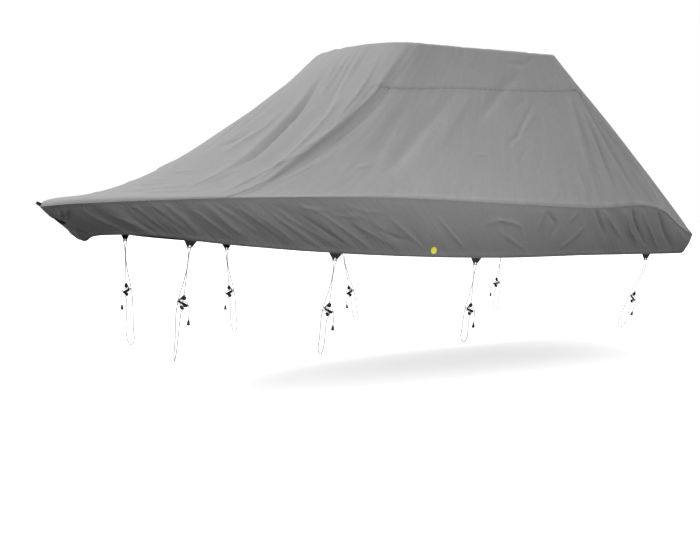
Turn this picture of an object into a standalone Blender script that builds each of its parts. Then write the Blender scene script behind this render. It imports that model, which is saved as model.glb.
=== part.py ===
"""Fitted cover for a boat with a hard top: sewn cloth panels, hem tabs, tie ropes and their hooks.

The boat itself is left out, so the cover is a hollow shell that keeps the shape in which it is drawn
down over bow, roof and stern. Metres, +X aft, +Y to starboard, +Z up. The origin is the point under
the middle of the roof where the cover is held up.

The tables give x aft of the bow tip, half breadths from the centreline and heights above the ground.
"Along" is the distance along the rail seam from the bow tip, looked at from above. Each half of the
cover is drawn by spokes that run from the eave of the roof, down to the rail seam, and on to the hem.
"""

import math
from collections import namedtuple

import bmesh
import bpy
import numpy as np
from mathutils import Matrix, Vector

# ---------------------------------------------------------------- driving sizes

MOUNT_X = 3.95
MOUNT_HEIGHT = 3.180
CLOTH = 0.002
SEAM_GAP = 0.0006
MERGE = 0.00001
PORT = -1
STARBOARD = 1

Hull = namedtuple("Hull", "along x half rail hem_x hem_half hem")
HULL = [
    Hull(0.00, -0.030, 0.000, 1.624, 0.330, 0.000, 1.338),
    Hull(0.12, 0.005, 0.115, 1.632, 0.335, 0.075, 1.345),
    Hull(0.30, 0.095, 0.275, 1.645, 0.345, 0.185, 1.380),
    Hull(0.60, 0.310, 0.490, 1.659, 0.480, 0.420, 1.400),
    Hull(1.00, 0.650, 0.705, 1.676, 0.760, 0.650, 1.385),
    Hull(1.50, 1.100, 0.890, 1.690, 1.150, 0.835, 1.330),
    Hull(2.20, 1.770, 1.070, 1.699, 1.800, 1.005, 1.262),
    Hull(3.10, 2.660, 1.177, 1.694, 2.670, 1.115, 1.196),
    Hull(4.30, 3.855, 1.200, 1.643, 3.855, 1.140, 1.142),
    Hull(5.50, 5.055, 1.194, 1.594, 5.055, 1.140, 1.130),
    Hull(6.40, 5.955, 1.180, 1.584, 5.950, 1.130, 1.115),
    Hull(6.55, 6.095, 1.176, 1.545, 6.100, 1.125, 1.112),
    Hull(6.70, 6.235, 1.172, 1.455, 6.240, 1.120, 1.110),
    Hull(6.85, 6.385, 1.168, 1.360, 6.360, 1.110, 1.109),
    Hull(7.00, 6.530, 1.160, 1.305, 6.450, 1.095, 1.109),
    Hull(7.10, 6.600, 1.110, 1.298, 6.478, 1.040, 1.108),
    Hull(7.25, 6.610, 0.960, 1.300, 6.480, 0.920, 1.108),
    Hull(7.60, 6.610, 0.610, 1.300, 6.480, 0.590, 1.108),
    Hull(8.20, 6.610, 0.000, 1.300, 6.480, 0.000, 1.108),
]
HALF_GIRTH = HULL[-1].along

# The roof's outline, from the middle of its front edge round to the middle of its aft edge.
Roof = namedtuple("Roof", "around x half")
ROOF = [
    Roof(0.000, 2.780, 0.000),
    Roof(0.100, 2.812, 0.310),
    Roof(0.180, 2.900, 0.570),
    Roof(0.235, 3.000, 0.735),
    Roof(0.285, 3.140, 0.805),
    Roof(0.400, 3.480, 0.810),
    Roof(0.620, 4.180, 0.810),
    Roof(0.770, 4.700, 0.808),
    Roof(0.810, 4.860, 0.795),
    Roof(0.835, 4.915, 0.740),
    Roof(0.860, 4.925, 0.650),
    Roof(1.000, 4.925, 0.000),
]
EAVE_HEIGHT = 3.112
EAVE_RISE = 0.012
EAVE_START = 3.07
CROWN = 0.060
CROWN_X = 3.70
CROWN_FALL = 0.77
CROWN_RUN = 0.92
ROOF_HALF = 0.81
RIDGE_INSET = 0.12

# How a spoke falls from the eave to the rail: its place on the roof, its slopes at the foot and the
# head as shares of the straight line's, the height of its roll over the gunwale, and the share of its
# length at which the seam under the roof crosses it.
Drape = namedtuple("Drape", "along around foot head roll seam")
DRAPE = [
    Drape(0.00, 0.000, 0.00, 1.28, 0.060, 0.270),
    Drape(0.55, 0.060, 0.06, 1.36, 0.050, 0.250),
    Drape(1.05, 0.135, 0.14, 1.48, 0.030, 0.230),
    Drape(1.60, 0.262, 0.24, 1.50, 0.012, 0.212),
    Drape(2.30, 0.335, 0.42, 1.40, 0.000, 0.232),
    Drape(3.40, 0.480, 0.75, 1.15, 0.000, 0.252),
    Drape(4.60, 0.655, 0.90, 1.06, 0.000, 0.252),
    Drape(5.50, 0.765, 1.00, 1.02, 0.000, 0.245),
    Drape(6.40, 0.812, 1.05, 0.97, 0.000, 0.235),
    Drape(6.85, 0.825, 1.10, 0.94, 0.000, 0.235),
    Drape(7.15, 0.845, 1.10, 0.94, 0.000, 0.235),
    Drape(8.20, 1.000, 1.05, 1.00, 0.000, 0.235),
]
ROLL_WIDTH = 0.035

# How far a line of the skirt's weave runs aft between the rail and the hem: its folds follow it.
Lean = namedtuple("Lean", "along aft")
LEAN = [
    Lean(0.0, 0.00),
    Lean(0.4, 0.15),
    Lean(0.7, 0.24),
    Lean(1.1, 0.33),
    Lean(1.5, 0.44),
    Lean(2.0, 0.58),
    Lean(2.5, 0.58),
    Lean(3.0, 0.48),
    Lean(3.8, 0.28),
    Lean(4.6, 0.15),
    Lean(5.2, 0.26),
    Lean(5.9, 0.42),
    Lean(6.4, 0.24),
    Lean(7.0, 0.00),
    Lean(8.2, 0.00),
]

CREASE = 1.60
STERN_SEAM = 6.40

# Folds run down the spokes. Height is in metres, a ridge above zero and a trough below it; top and
# foot are the shares of the way down between which a fold shows. Over the roof the shares are negative.
FOLD_SHARPNESS = 1.6
FOLD_FADE = 0.8
ROOF_REACH = 0.3
Fold = namedtuple("Fold", "along width height top foot")
TENT_FOLDS = {
    PORT: [
        Fold(0.42, 0.09, 0.007, 0.35, 0.97),
        Fold(0.92, 0.12, 0.018, -0.30, 0.90),
        Fold(1.06, 0.07, -0.012, 0.00, 0.85),
        Fold(1.30, 0.07, 0.007, -0.30, 0.75),
        Fold(1.52, 0.09, 0.018, -0.30, 0.97),
        Fold(1.74, 0.09, -0.014, 0.10, 0.92),
        Fold(5.46, 0.08, 0.008, 0.25, 0.97),
        Fold(5.62, 0.07, -0.010, 0.18, 0.99),
        Fold(5.80, 0.08, 0.010, 0.12, 0.99),
        Fold(5.95, 0.06, -0.010, 0.10, 0.99),
        Fold(6.12, 0.07, 0.010, 0.10, 0.98),
        Fold(6.28, 0.06, -0.009, 0.10, 0.97),
    ],
    STARBOARD: [
        Fold(0.36, 0.08, -0.006, 0.40, 0.95),
        Fold(0.84, 0.11, 0.015, -0.30, 0.88),
        Fold(1.00, 0.08, -0.010, 0.05, 0.82),
        Fold(1.50, 0.09, 0.016, -0.30, 0.96),
        Fold(1.70, 0.08, -0.012, 0.12, 0.90),
        Fold(2.20, 0.10, 0.006, 0.20, 0.80),
        Fold(5.40, 0.08, -0.009, 0.22, 0.98),
        Fold(5.64, 0.09, 0.010, 0.15, 0.99),
        Fold(5.86, 0.07, -0.011, 0.12, 0.99),
        Fold(6.06, 0.07, 0.009, 0.10, 0.98),
        Fold(6.24, 0.06, -0.009, 0.10, 0.97),
    ],
}
SKIRT_FOLDS = {
    PORT: [
        Fold(0.20, 0.05, -0.006, 0.02, 0.45),
        Fold(0.34, 0.07, 0.009, 0.05, 1.00),
        Fold(0.50, 0.06, -0.008, 0.05, 1.00),
        Fold(0.64, 0.07, 0.010, 0.04, 1.05),
        Fold(0.80, 0.06, -0.009, 0.04, 1.00),
        Fold(0.96, 0.07, 0.010, 0.04, 1.05),
        Fold(1.14, 0.07, -0.009, 0.05, 1.00),
        Fold(1.36, 0.07, 0.010, 0.08, 1.05),
        Fold(1.52, 0.06, -0.008, 0.08, 1.00),
        Fold(1.72, 0.07, 0.011, 0.12, 1.05),
        Fold(1.94, 0.08, -0.010, 0.14, 1.05),
        Fold(2.16, 0.08, 0.010, 0.15, 1.05),
        Fold(2.40, 0.08, -0.009, 0.18, 1.00),
        Fold(2.66, 0.09, 0.009, 0.22, 1.05),
        Fold(3.00, 0.10, -0.008, 0.20, 0.95),
        Fold(3.34, 0.09, 0.006, 0.25, 0.85),
        Fold(4.30, 0.10, 0.008, 0.15, 1.00),
        Fold(4.52, 0.08, -0.007, 0.20, 0.95),
        Fold(4.90, 0.09, 0.008, 0.15, 0.95),
        Fold(5.34, 0.08, -0.009, 0.04, 1.00),
        Fold(5.52, 0.08, 0.010, 0.04, 1.05),
        Fold(5.72, 0.07, -0.009, 0.03, 1.00),
        Fold(5.90, 0.08, 0.010, 0.03, 1.05),
        Fold(6.62, 0.09, 0.009, 0.05, 1.00),
        Fold(7.40, 0.12, 0.009, 0.05, 1.00),
        Fold(7.80, 0.12, -0.008, 0.05, 1.00),
    ],
    STARBOARD: [
        Fold(0.22, 0.06, 0.007, 0.05, 0.80),
        Fold(0.42, 0.07, -0.008, 0.05, 1.00),
        Fold(0.60, 0.07, 0.010, 0.04, 1.05),
        Fold(0.84, 0.08, -0.009, 0.05, 1.00),
        Fold(1.08, 0.07, 0.010, 0.04, 1.05),
        Fold(1.36, 0.08, -0.009, 0.08, 1.00),
        Fold(1.64, 0.08, 0.011, 0.10, 1.05),
        Fold(1.94, 0.08, -0.010, 0.12, 1.00),
        Fold(2.24, 0.09, 0.010, 0.15, 1.05),
        Fold(2.66, 0.10, -0.008, 0.20, 1.00),
        Fold(3.20, 0.10, 0.008, 0.20, 0.95),
        Fold(4.00, 0.11, -0.007, 0.20, 0.95),
        Fold(4.70, 0.10, 0.008, 0.15, 1.00),
        Fold(5.30, 0.09, -0.009, 0.05, 1.00),
        Fold(5.58, 0.08, 0.010, 0.04, 1.05),
        Fold(5.86, 0.08, -0.009, 0.04, 1.00),
        Fold(6.56, 0.09, 0.009, 0.05, 1.00),
        Fold(7.50, 0.12, -0.009, 0.05, 1.00),
        Fold(7.90, 0.10, 0.007, 0.05, 1.00),
    ],
}

# The grid that the cloth is meshed on: shares of the way down the roof, tent and skirt.
ROOF_ROWS = [1.0, 0.66, 0.3]
EAVE_ROWS = [0.0, 0.4, 0.7]
TENT_ROWS = [0.0, 0.14, 0.30, 0.46, 0.62, 0.76, 0.88, 0.96, 0.985, 1.0]
SKIRT_ROWS = [0.0, 0.22, 0.48, 0.76, 1.0]
BOW_STATIONS = [0.05, 0.10, 0.14]
WIDEST_STEP = 0.24
CLOSEST_STEP = 0.08

# Hem tabs and the ties on them. Going down, a tie leans inboard and rakes forward, in degrees.
Tie = namedtuple("Tie", "along lean rake drop")
TIES = [
    Tie(1.26, 11, 7, 0.427),
    Tie(2.55, 11, 3, 0.402),
    Tie(4.03, 12, -2, 0.400),
    Tie(6.30, 8, 17, 0.380),
]
TAB_WIDTH = 0.110
TAB_TIP = 0.036
TAB_LENGTH = 0.066
TAB_THICK = 0.003
TAB_HOLE = 0.009
TAB_HOLE_DROP = 0.050
SEAT = 0.0004
HOOK_THICK = 0.008
ROPE_DIAMETER = 0.008
FOOT_HEIGHT = 0.36
END_LENGTH = 0.042
END_TOP = 0.009
END_FOOT = 0.014
PATCH_ALONG = 3.59
PATCH_DOWN = 0.88
PATCH_RADIUS = 0.031
PATCH_THICK = 0.002

# The tab at the bow tip: shares of the way down the nose's lowest strip, and the reach forward of it.
NOSE_TAB = [(0.25, 0.0), (0.95, 0.0), (1.10, 0.040), (0.60, 0.046)]
NOSE_TAB_THICK = 0.005

# The saddle's edges on the stem: at each place along, the shares of the way down of its two edges.
Saddle = namedtuple("Saddle", "along top foot")
SADDLE = [
    Saddle(0.00, 0.37, 0.50),
    Saddle(0.03, 0.31, 0.50),
    Saddle(0.05, 0.38, 0.49),
    Saddle(0.09, 0.36, 0.47),
    Saddle(0.12, 0.41, 0.44),
]
SADDLE_GAP = 0.0010
SADDLE_STEM_LIFT = 0.0039
SADDLE_ROWS = 3

# The rope's route in millimetres: from the hook's collar up through the tab's hole, down past the
# hook, round the foot of its loop, back up and in an S over the hook. Across runs along the hem, up
# along the tie and out away from the hull, each measured from the place named.
Bend = namedtuple("Bend", "origin across up out")
ROUTE = [
    Bend("hook", 0, 26, 0),
    Bend("hook", 1, 110, 0),
    Bend("hole", 6, -96, 3),
    Bend("hole", 8, -38, 7),
    Bend("hole", 13, -17, 10),
    Bend("hole", 12, -3, 9),
    Bend("hole", 4, 2, 4),
    Bend("hole", -4, 2, -4),
    Bend("hole", -12, -3, -9),
    Bend("hole", -13, -17, -10),
    Bend("hole", -8, -38, -7),
    Bend("hook", -16, 130, -8),
    Bend("hook", -38, 8, -20),
    Bend("hook", -46, -60, -24),
    Bend("foot", -32, 130, -50),
    Bend("foot", -29, 36, -56),
    Bend("foot", -26, 9, -45),
    Bend("foot", -22, 0, -25),
    Bend("foot", -18, 9, -5),
    Bend("foot", -15, 36, 6),
    Bend("hook", -10, -150, 8),
    Bend("hook", -8, -112, 10),
    Bend("hook", 5, -96, 10),
    Bend("hook", 10, -82, 10),
    Bend("hook", 2, -70, 10),
    Bend("hook", -31, -52, 10.5),
    Bend("hook", -46, -44, 8),
    Bend("hook", -51, -36, 0),
    Bend("hook", -47, -28, -8),
    Bend("hook", -36, -22, -10.5),
    Bend("hook", -23, -20, -8.5),
    Bend("hook", -17, -21.5, 0),
    Bend("hook", -10, -24, 8.5),
    Bend("hook", 5, -27, 10.5),
    Bend("hook", 27, -34, 10.5),
    Bend("hook", 43, -56, 9),
    Bend("hook", 52, -95, 4),
    Bend("hook", 57, -178, 0),
]
LONG_STRETCH = 0.30
Place = namedtuple("Place", "reach x y z")

# The hook's outline in millimetres from the middle of its round head: the collar that takes the
# rope's end, the neck, the slanting bar and the lower wedge, then back along the slot to the head.
HEAD_RADIUS = 21
HEAD_LEFT = [108, 134, 160]
HOOK_EDGE = [
    (-30, -4),
    (-39, -16),
    (-42, -28),
    (-40, -38),
    (-34, -45),
    (-9, -55),
    (-3, -60),
    (-9, -64),
    (-28, -66),
    (-29, -74),
    (-14, -96),
    (-5, -99),
    (4, -94),
    (10, -80),
    (17, -73),
    (30, -74),
    (39, -68),
    (41, -58),
    (34, -50),
    (10, -40),
    (-12, -31),
    (-26, -27),
    (-31, -20),
    (-29, -12),
]
HEAD_RIGHT = [215, 245, 275, 305, 335, 5, 35, 72]
COLLAR_HALF = 6.5
COLLAR_TOP = 25.5


# ---------------------------------------------------------------- the cover's surface


def spline(rows, column):
    """A smooth curve through one column of a table, against the table's first column."""
    xs = np.array([row[0] for row in rows], dtype=float)
    ys = np.array([getattr(row, column) for row in rows], dtype=float)
    slopes = np.gradient(ys, xs)

    def at(x):
        x = np.clip(x, xs[0], xs[-1])
        i = np.clip(np.searchsorted(xs, x, side="right") - 1, 0, len(xs) - 2)
        step = xs[i + 1] - xs[i]
        t = (x - xs[i]) / step
        ends = ys[i] * (1 + 2 * t) * (1 - t) ** 2 + ys[i + 1] * t * t * (3 - 2 * t)
        return ends + step * t * (1 - t) * (slopes[i] * (1 - t) - slopes[i + 1] * t)

    return at


hull = {name: spline(HULL, name) for name in Hull._fields[1:]}
outline = {name: spline(ROOF, name) for name in Roof._fields[1:]}
drape = {name: spline(DRAPE, name) for name in Drape._fields[1:]}
lean_aft = spline(LEAN, "aft")


def roof_height(x, y):
    """The roof's height: a crown that falls away to the eaves and to the front."""
    fall = CROWN_FALL * np.clip((CROWN_X - x) / CROWN_RUN, 0, 1) ** 2
    rim = np.clip(np.abs(y) / ROOF_HALF, 0, 1) ** 2
    return EAVE_HEIGHT + EAVE_RISE * (x - EAVE_START) + CROWN * (1 - fall) * (1 - rim)


def eave(along):
    around = drape["around"](along)
    x, y = outline["x"](around), -outline["half"](around)
    return np.stack([x, y, roof_height(x, y)], axis=-1)


def rail(along):
    return np.stack([hull["x"](along), -hull["half"](along), hull["rail"](along)], axis=-1)


def hem(along):
    return np.stack([hull["hem_x"](along), -hull["hem_half"](along), hull["hem"](along)], axis=-1)


def roof(along, inward):
    """The roof, from the eave at 0 to the centreline at 1."""
    edge = eave(along)
    length = ROOF[-1].x - ROOF[0].x
    ridge_x = ROOF[0].x + length * (RIDGE_INSET + (1 - 2 * RIDGE_INSET) * drape["around"](along))
    x = edge[..., 0] + (ridge_x - edge[..., 0]) * inward
    y = edge[..., 1] * (1 - inward)
    return np.stack([x, y, roof_height(x, y)], axis=-1)


def tent(along, down):
    """The slopes, from the eave at 0 to the rail at 1."""
    head, foot = eave(along), rail(along)
    points = head + (foot - head) * down[..., None]
    rise = 1 - down
    low, high = drape["foot"](along), drape["head"](along)
    share = low * rise + (3 - 2 * low - high) * rise**2 + (low + high - 2) * rise**3
    run = rise * np.hypot(head[..., 0] - foot[..., 0], head[..., 1] - foot[..., 1])
    roll = drape["roll"](along) * (1 - np.exp(-run / ROLL_WIDTH)) * (1 - rise) ** 2
    points[..., 2] = foot[..., 2] + (head[..., 2] - foot[..., 2]) * share + roll
    return points


def skirt(along, down):
    """The skirt, from the rail at 0 to the hem at 1, its lines leaning aft."""
    reach = along + lean_aft(along) * down
    return rail(reach) + (hem(reach) - rail(reach)) * down[..., None]


def relief(folds, along, down):
    """The height of the folds over the smooth surface."""
    total = np.zeros(np.broadcast(along, down).shape)
    for fold in folds:
        crest = np.exp(-FOLD_SHARPNESS * ((along - fold.along) / fold.width) ** 2)
        within = np.clip((down - fold.top) / (fold.foot - fold.top), 0, 1)
        total += fold.height * crest * np.sin(math.pi * within) ** FOLD_FADE
    return total


def outward(surface, along, down):
    """The surface's unit normals on the port half, which point out of the cover."""
    step = 0.004
    a0, a1 = np.maximum(along - step, 0), np.minimum(along + step, HALF_GIRTH)
    d0, d1 = np.maximum(down - step, 0), np.minimum(down + step, 1)
    across = surface(a1, down) - surface(a0, down)
    normal = np.cross(surface(along, d1) - surface(along, d0), across)
    return normal / np.linalg.norm(normal, axis=-1, keepdims=True)


def place(points, side):
    """Ship's measures to the part's own frame, on either side of the centreline."""
    return points * np.array([1, -side, 1]) - np.array([MOUNT_X, 0, MOUNT_HEIGHT])


def tent_point(along, down, side):
    height = relief(TENT_FOLDS[side], along, down)
    return place(tent(along, down) + outward(tent, along, down) * height[..., None], side)


def skirt_point(along, down, side):
    height = relief(SKIRT_FOLDS[side], along, down)
    return place(skirt(along, down) + outward(skirt, along, down) * height[..., None], side)


def roof_point(along, inward, side):
    """The roof, with the folds of the slopes fading out over its edge."""
    height = relief(TENT_FOLDS[side], along, -ROOF_REACH * inward)
    return place(roof(along, inward) + np.array([0, 0, 1]) * height[..., None], side)


# ---------------------------------------------------------------- stations


def rail_over(hem_along):
    """The place on the rail whose line through the skirt ends at this place on the hem."""
    rails = np.linspace(0, HALF_GIRTH, 4001)
    return float(np.interp(hem_along, rails + lean_aft(rails), rails))


def tab_edges(tie):
    return rail_over(tie.along - TAB_WIDTH / 2), rail_over(tie.along + TAB_WIDTH / 2)


def stations():
    """Where the cloth's mesh has its lines: at seams, tabs and folds, and between where they are wide."""
    tabs = [tab_edges(tie) for tie in TIES]
    lines = [0, CREASE, STERN_SEAM, HALF_GIRTH] + BOW_STATIONS + [row.along for row in HULL[11:]]
    lines += [edge for edges in tabs for edge in edges]
    for fold in SKIRT_FOLDS[PORT] + TENT_FOLDS[PORT] + SKIRT_FOLDS[STARBOARD] + TENT_FOLDS[STARBOARD]:
        beside_tabs = all(not low < fold.along < high for low, high in tabs)
        if beside_tabs and min(abs(fold.along - x) for x in lines) > CLOSEST_STEP:
            lines.append(fold.along)
    lines.sort()
    filled = [lines[0]]
    for x in lines[1:]:
        parts = math.ceil((x - filled[-1]) / WIDEST_STEP)
        filled += list(np.linspace(filled[-1], x, parts + 1)[1:])
    return np.array(filled)


# ---------------------------------------------------------------- meshes


def material(name, colour, roughness):
    made = bpy.data.materials.new(name)
    made.use_nodes = True
    shader = made.node_tree.nodes["Principled BSDF"]
    shader.inputs["Base Color"].default_value = (*colour, 1)
    shader.inputs["Roughness"].default_value = roughness
    return made


def collection():
    made = bpy.data.collections.new("boat_cover")
    bpy.context.scene.collection.children.link(made)
    return made


def add(name, data, finish, group):
    item = bpy.data.objects.new(name, data)
    data.materials.append(finish)
    group.objects.link(item)
    return item


def add_grid(bm, points, side):
    """Join a grid of points, spokes by rows, into faces that look out of the cover."""
    rows = [[bm.verts.new(point) for point in row] for row in points]
    for near, far in zip(rows, rows[1:]):
        for k in range(len(near) - 1):
            corners = [near[k], near[k + 1], far[k + 1], far[k]]
            bm.faces.new(corners if side == PORT else reversed(corners))


def trim(bm, gap):
    """Draw the open edges in along the cloth, which leaves a gap between panels at each seam."""
    inward = {}
    for edge in bm.edges:
        if not edge.is_boundary:
            continue
        face = edge.link_faces[0]
        away = face.normal.cross(edge.verts[1].co - edge.verts[0].co).normalized()
        if away.dot(face.calc_center_median() - edge.verts[0].co) < 0:
            away.negate()
        for vert in edge.verts:
            inward.setdefault(vert, []).append(away)
    for vert, ways in inward.items():
        total = ways[0] + ways[-1]
        vert.co += total * gap / (1 + ways[0].dot(ways[-1]))


def finish_cloth(name, bm, finish, group):
    """Merge the patches of a panel, draw in its edges and give the cloth its thickness."""
    bmesh.ops.remove_doubles(bm, verts=bm.verts, dist=MERGE)
    bm.normal_update()
    trim(bm, SEAM_GAP / 2)
    mesh = bpy.data.meshes.new(name)
    bm.to_mesh(mesh)
    bm.free()
    panel = add(name, mesh, finish, group)
    thick = panel.modifiers.new("cloth", "SOLIDIFY")
    thick.thickness = CLOTH
    thick.offset = 1
    return panel


def tent_downs(lines):
    """The share of the way down of each tent row, at each spoke: eave to seam, and seam to rail."""
    seam = drape["seam"](lines)[:, None]
    upper = seam * np.array(EAVE_ROWS + [1.0])
    lower = seam + (1 - seam) * np.array(TENT_ROWS)
    return upper, lower


def centre_panel(finish, group):
    """The bow slope, the roof and the stern slope: one cloth with the side panels left out."""
    bm = bmesh.new()
    lines = stations()
    upper, lower = tent_downs(lines)
    across = lines[:, None]
    for side in (PORT, STARBOARD):
        top = [roof_point(across, np.array([ROOF_ROWS]), side), tent_point(across, upper, side)]
        add_grid(bm, np.concatenate(top, axis=1), side)
        for part in (lines <= CREASE, lines >= STERN_SEAM):
            add_grid(bm, tent_point(across[part], lower[part], side), side)
    return finish_cloth("centre_panel", bm, finish, group)


def side_panel(name, side, finish, group):
    lines = stations()
    part = (lines >= CREASE) & (lines <= STERN_SEAM)
    bm = bmesh.new()
    add_grid(bm, tent_point(lines[part][:, None], tent_downs(lines)[1][part], side), side)
    return finish_cloth(name, bm, finish, group)


def skirt_panel(name, side, finish, group):
    bm = bmesh.new()
    lines = stations()
    add_grid(bm, skirt_point(lines[:, None], np.array([SKIRT_ROWS]), side), side)
    return finish_cloth(name, bm, finish, group)


def flat_outline(name, outlines, thick, finish, group):
    """A plate of the given outlines, the first its edge and the others its holes."""
    curve = bpy.data.curves.new(name, "CURVE")
    curve.dimensions = "2D"
    curve.fill_mode = "BOTH"
    curve.extrude = thick / 2
    for points in outlines:
        line = curve.splines.new("POLY")
        line.points.add(len(points) - 1)
        for point, (x, y) in zip(line.points, points):
            point.co = (x, y, 0, 1)
        line.use_cyclic_u = True
    return add(name, curve, finish, group)


def circle(radius, count, centre=(0, 0)):
    turns = [2 * math.pi * k / count for k in range(count)]
    return [(centre[0] + radius * math.cos(a), centre[1] + radius * math.sin(a)) for a in turns]


def frame_matrix(origin, across, up, out):
    matrix = Matrix((across, up, out)).transposed().to_4x4()
    matrix.translation = origin
    return matrix


# ---------------------------------------------------------------- tabs, ties and hooks


class TieFrame:
    """Where one tab and its tie lie: the tab square to the hem, the tie in line with its pull."""

    def __init__(self, tie, side):
        ends = skirt_point(np.array(tab_edges(tie)), np.ones(2), side)
        fore, aft = (Vector(end) for end in ends)
        left, right = (fore, aft) if side == PORT else (aft, fore)
        across = (right - left).normalized()
        level_out = across.cross(Vector((0, 0, 1))).normalized()
        leaning = Vector((0, 0, 1)) + level_out * math.tan(math.radians(tie.lean))
        up = (leaning - across * leaning.dot(across)).normalized()
        pull = (leaning + Vector((1, 0, 0)) * math.tan(math.radians(tie.rake))).normalized()
        out = across.cross(pull).normalized()
        self.tab_axes = (across, up, across.cross(up))
        self.tie_axes = (pull.cross(out), pull, out)
        self.width = (right - left).length
        self.top = (left + right) / 2 + level_out * CLOTH / 2 - up * SEAT
        self.hole = self.top - up * TAB_HOLE_DROP
        self.hook = self.hole - pull * tie.drop
        self.foot = self.hole - pull * ((self.hole.z + MOUNT_HEIGHT - FOOT_HEIGHT) / pull.z)

    def tab_matrix(self):
        return frame_matrix(self.top, *self.tab_axes)

    def hook_matrix(self):
        return frame_matrix(self.hook, *self.tie_axes)

    def point(self, bend):
        origin = {"hook": self.hook, "hole": self.hole, "foot": self.foot}[bend.origin]
        axes = self.tab_axes if bend.origin == "hole" else self.tie_axes
        across, up, out = (axis * 0.001 for axis in axes)
        return origin + across * bend.across + up * bend.up + out * bend.out


def hem_tab(name, tie_frame, finish, group):
    """A tapered tab under the hem, with the hole that its rope goes through."""
    half = tie_frame.width / 2 - SEAT
    tip, drop, corner = TAB_TIP / 2, TAB_LENGTH, TAB_TIP / 6
    edge = [(half, 0), (-half, 0), (-tip, -drop + corner), (-tip + corner, -drop)]
    edge += [(tip - corner, -drop), (tip, -drop + corner)]
    hole = circle(TAB_HOLE, 8, (0, -TAB_HOLE_DROP))
    tab = flat_outline(name, [edge, hole], TAB_THICK, finish, group)
    tab.matrix_world = tie_frame.tab_matrix()
    return tab


def hook_outline():
    """The hook's edge in metres, from the collar round to the collar again."""
    left = [math.radians(a) for a in HEAD_LEFT]
    right = [math.radians(a) for a in HEAD_RIGHT]
    edge = [(COLLAR_HALF, COLLAR_TOP), (-COLLAR_HALF, COLLAR_TOP)]
    edge += [(HEAD_RADIUS * math.cos(a), HEAD_RADIUS * math.sin(a)) for a in left]
    edge += HOOK_EDGE
    edge += [(HEAD_RADIUS * math.cos(a), HEAD_RADIUS * math.sin(a)) for a in right]
    return [(x / 1000, y / 1000) for x, y in edge]


def rope_hook(name, tie_frame, finish, group):
    hook = flat_outline(name, [hook_outline()], HOOK_THICK, finish, group)
    hook.matrix_world = tie_frame.hook_matrix()
    return hook


def rope_line(tie_frame):
    """Points on the smooth curve through the rope's route: its bends, and halfway on a long stretch."""
    corners = [tie_frame.point(bend) for bend in ROUTE]
    rows = [Place(0.0, *corners[0])]
    reaches = [0.0]
    for before, corner in zip(corners, corners[1:]):
        reach = rows[-1].reach + (corner - before).length
        if reach - rows[-1].reach > LONG_STRETCH:
            reaches.append((reach + rows[-1].reach) / 2)
        reaches.append(reach)
        rows.append(Place(reach, *corner))
    return np.stack([spline(rows, axis)(np.array(reaches)) for axis in "xyz"], axis=-1)


def rope(name, tie_frame, finish, group):
    curve = bpy.data.curves.new(name, "CURVE")
    curve.dimensions = "3D"
    curve.bevel_depth = ROPE_DIAMETER / 2
    curve.bevel_resolution = 2
    curve.use_fill_caps = True
    line = curve.splines.new("POLY")
    points = rope_line(tie_frame)
    line.points.add(len(points) - 1)
    for point, place_at in zip(line.points, points):
        point.co = (*place_at, 1)
    return add(name, curve, finish, group)


def rope_end(name, tie_frame, finish, group):
    """The moulded end on the free tail: a turned bell, in line with the rope."""
    before, last = (Vector(p) for p in rope_line(tie_frame)[-2:])
    down = (last - before).normalized()
    mesh = bpy.data.meshes.new(name)
    bm = bmesh.new()
    bmesh.ops.create_cone(
        bm, cap_ends=True, segments=8, radius1=END_FOOT, radius2=END_TOP, depth=END_LENGTH
    )
    bm.to_mesh(mesh)
    bm.free()
    end = add(name, mesh, finish, group)
    end.rotation_mode = "QUATERNION"
    end.rotation_quaternion = (-down).to_track_quat("Z", "Y")
    end.location = last + down * (END_LENGTH / 2 + SEAT)
    edges = end.modifiers.new("rounding", "BEVEL")
    edges.width = 0.003
    edges.segments = 1
    return end


# ---------------------------------------------------------------- bow tab, stem saddle and patch

def bow_tab(finish, group):
    """A short folded tab that stands forward from the nose, in the middle plane."""
    ends = tent(np.zeros(2), tent_downs(np.zeros(1))[1][0, -2:])
    high, low = (Vector(p) for p in place(ends, PORT))
    along = low - high
    out = Vector((along.z, 0, -along.x)).normalized()
    base = high + out * (CLOTH + SEAT)
    edge = [base + along * share + out * reach for share, reach in NOSE_TAB]
    tab = flat_outline("bow_tab", [[(p.x, p.z) for p in edge]], NOSE_TAB_THICK, finish, group)
    tab.matrix_world = frame_matrix(Vector(), Vector((1, 0, 0)), Vector((0, 0, 1)), Vector((0, -1, 0)))
    return tab


def stem_tab(finish, group):
    """A webbing saddle that lies over the stem, with a wing on either side."""
    bm = bmesh.new()
    along = np.array([row.along for row in SADDLE])[:, None]
    top = np.array([row.top for row in SADDLE])[:, None]
    foot = np.array([row.foot for row in SADDLE])[:, None]
    down = top + (foot - top) * np.linspace(0, 1, SADDLE_ROWS)
    lift = CLOTH + SADDLE_GAP
    for side in (PORT, STARBOARD):
        normal = outward(skirt, along, down)
        points = skirt(along, down) + normal * lift
        points[0, :, 0] = skirt(along, down)[0, :, 0] - SADDLE_STEM_LIFT
        points[0, :, 1] = 0
        add_grid(bm, place(points, side), side)
    bmesh.ops.remove_doubles(bm, verts=bm.verts, dist=MERGE)
    mesh = bpy.data.meshes.new("stem_tab")
    bm.to_mesh(mesh)
    bm.free()
    saddle = add("stem_tab", mesh, finish, group)
    thick = saddle.modifiers.new("webbing", "SOLIDIFY")
    thick.thickness = TAB_THICK
    thick.offset = 1
    return saddle


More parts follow.
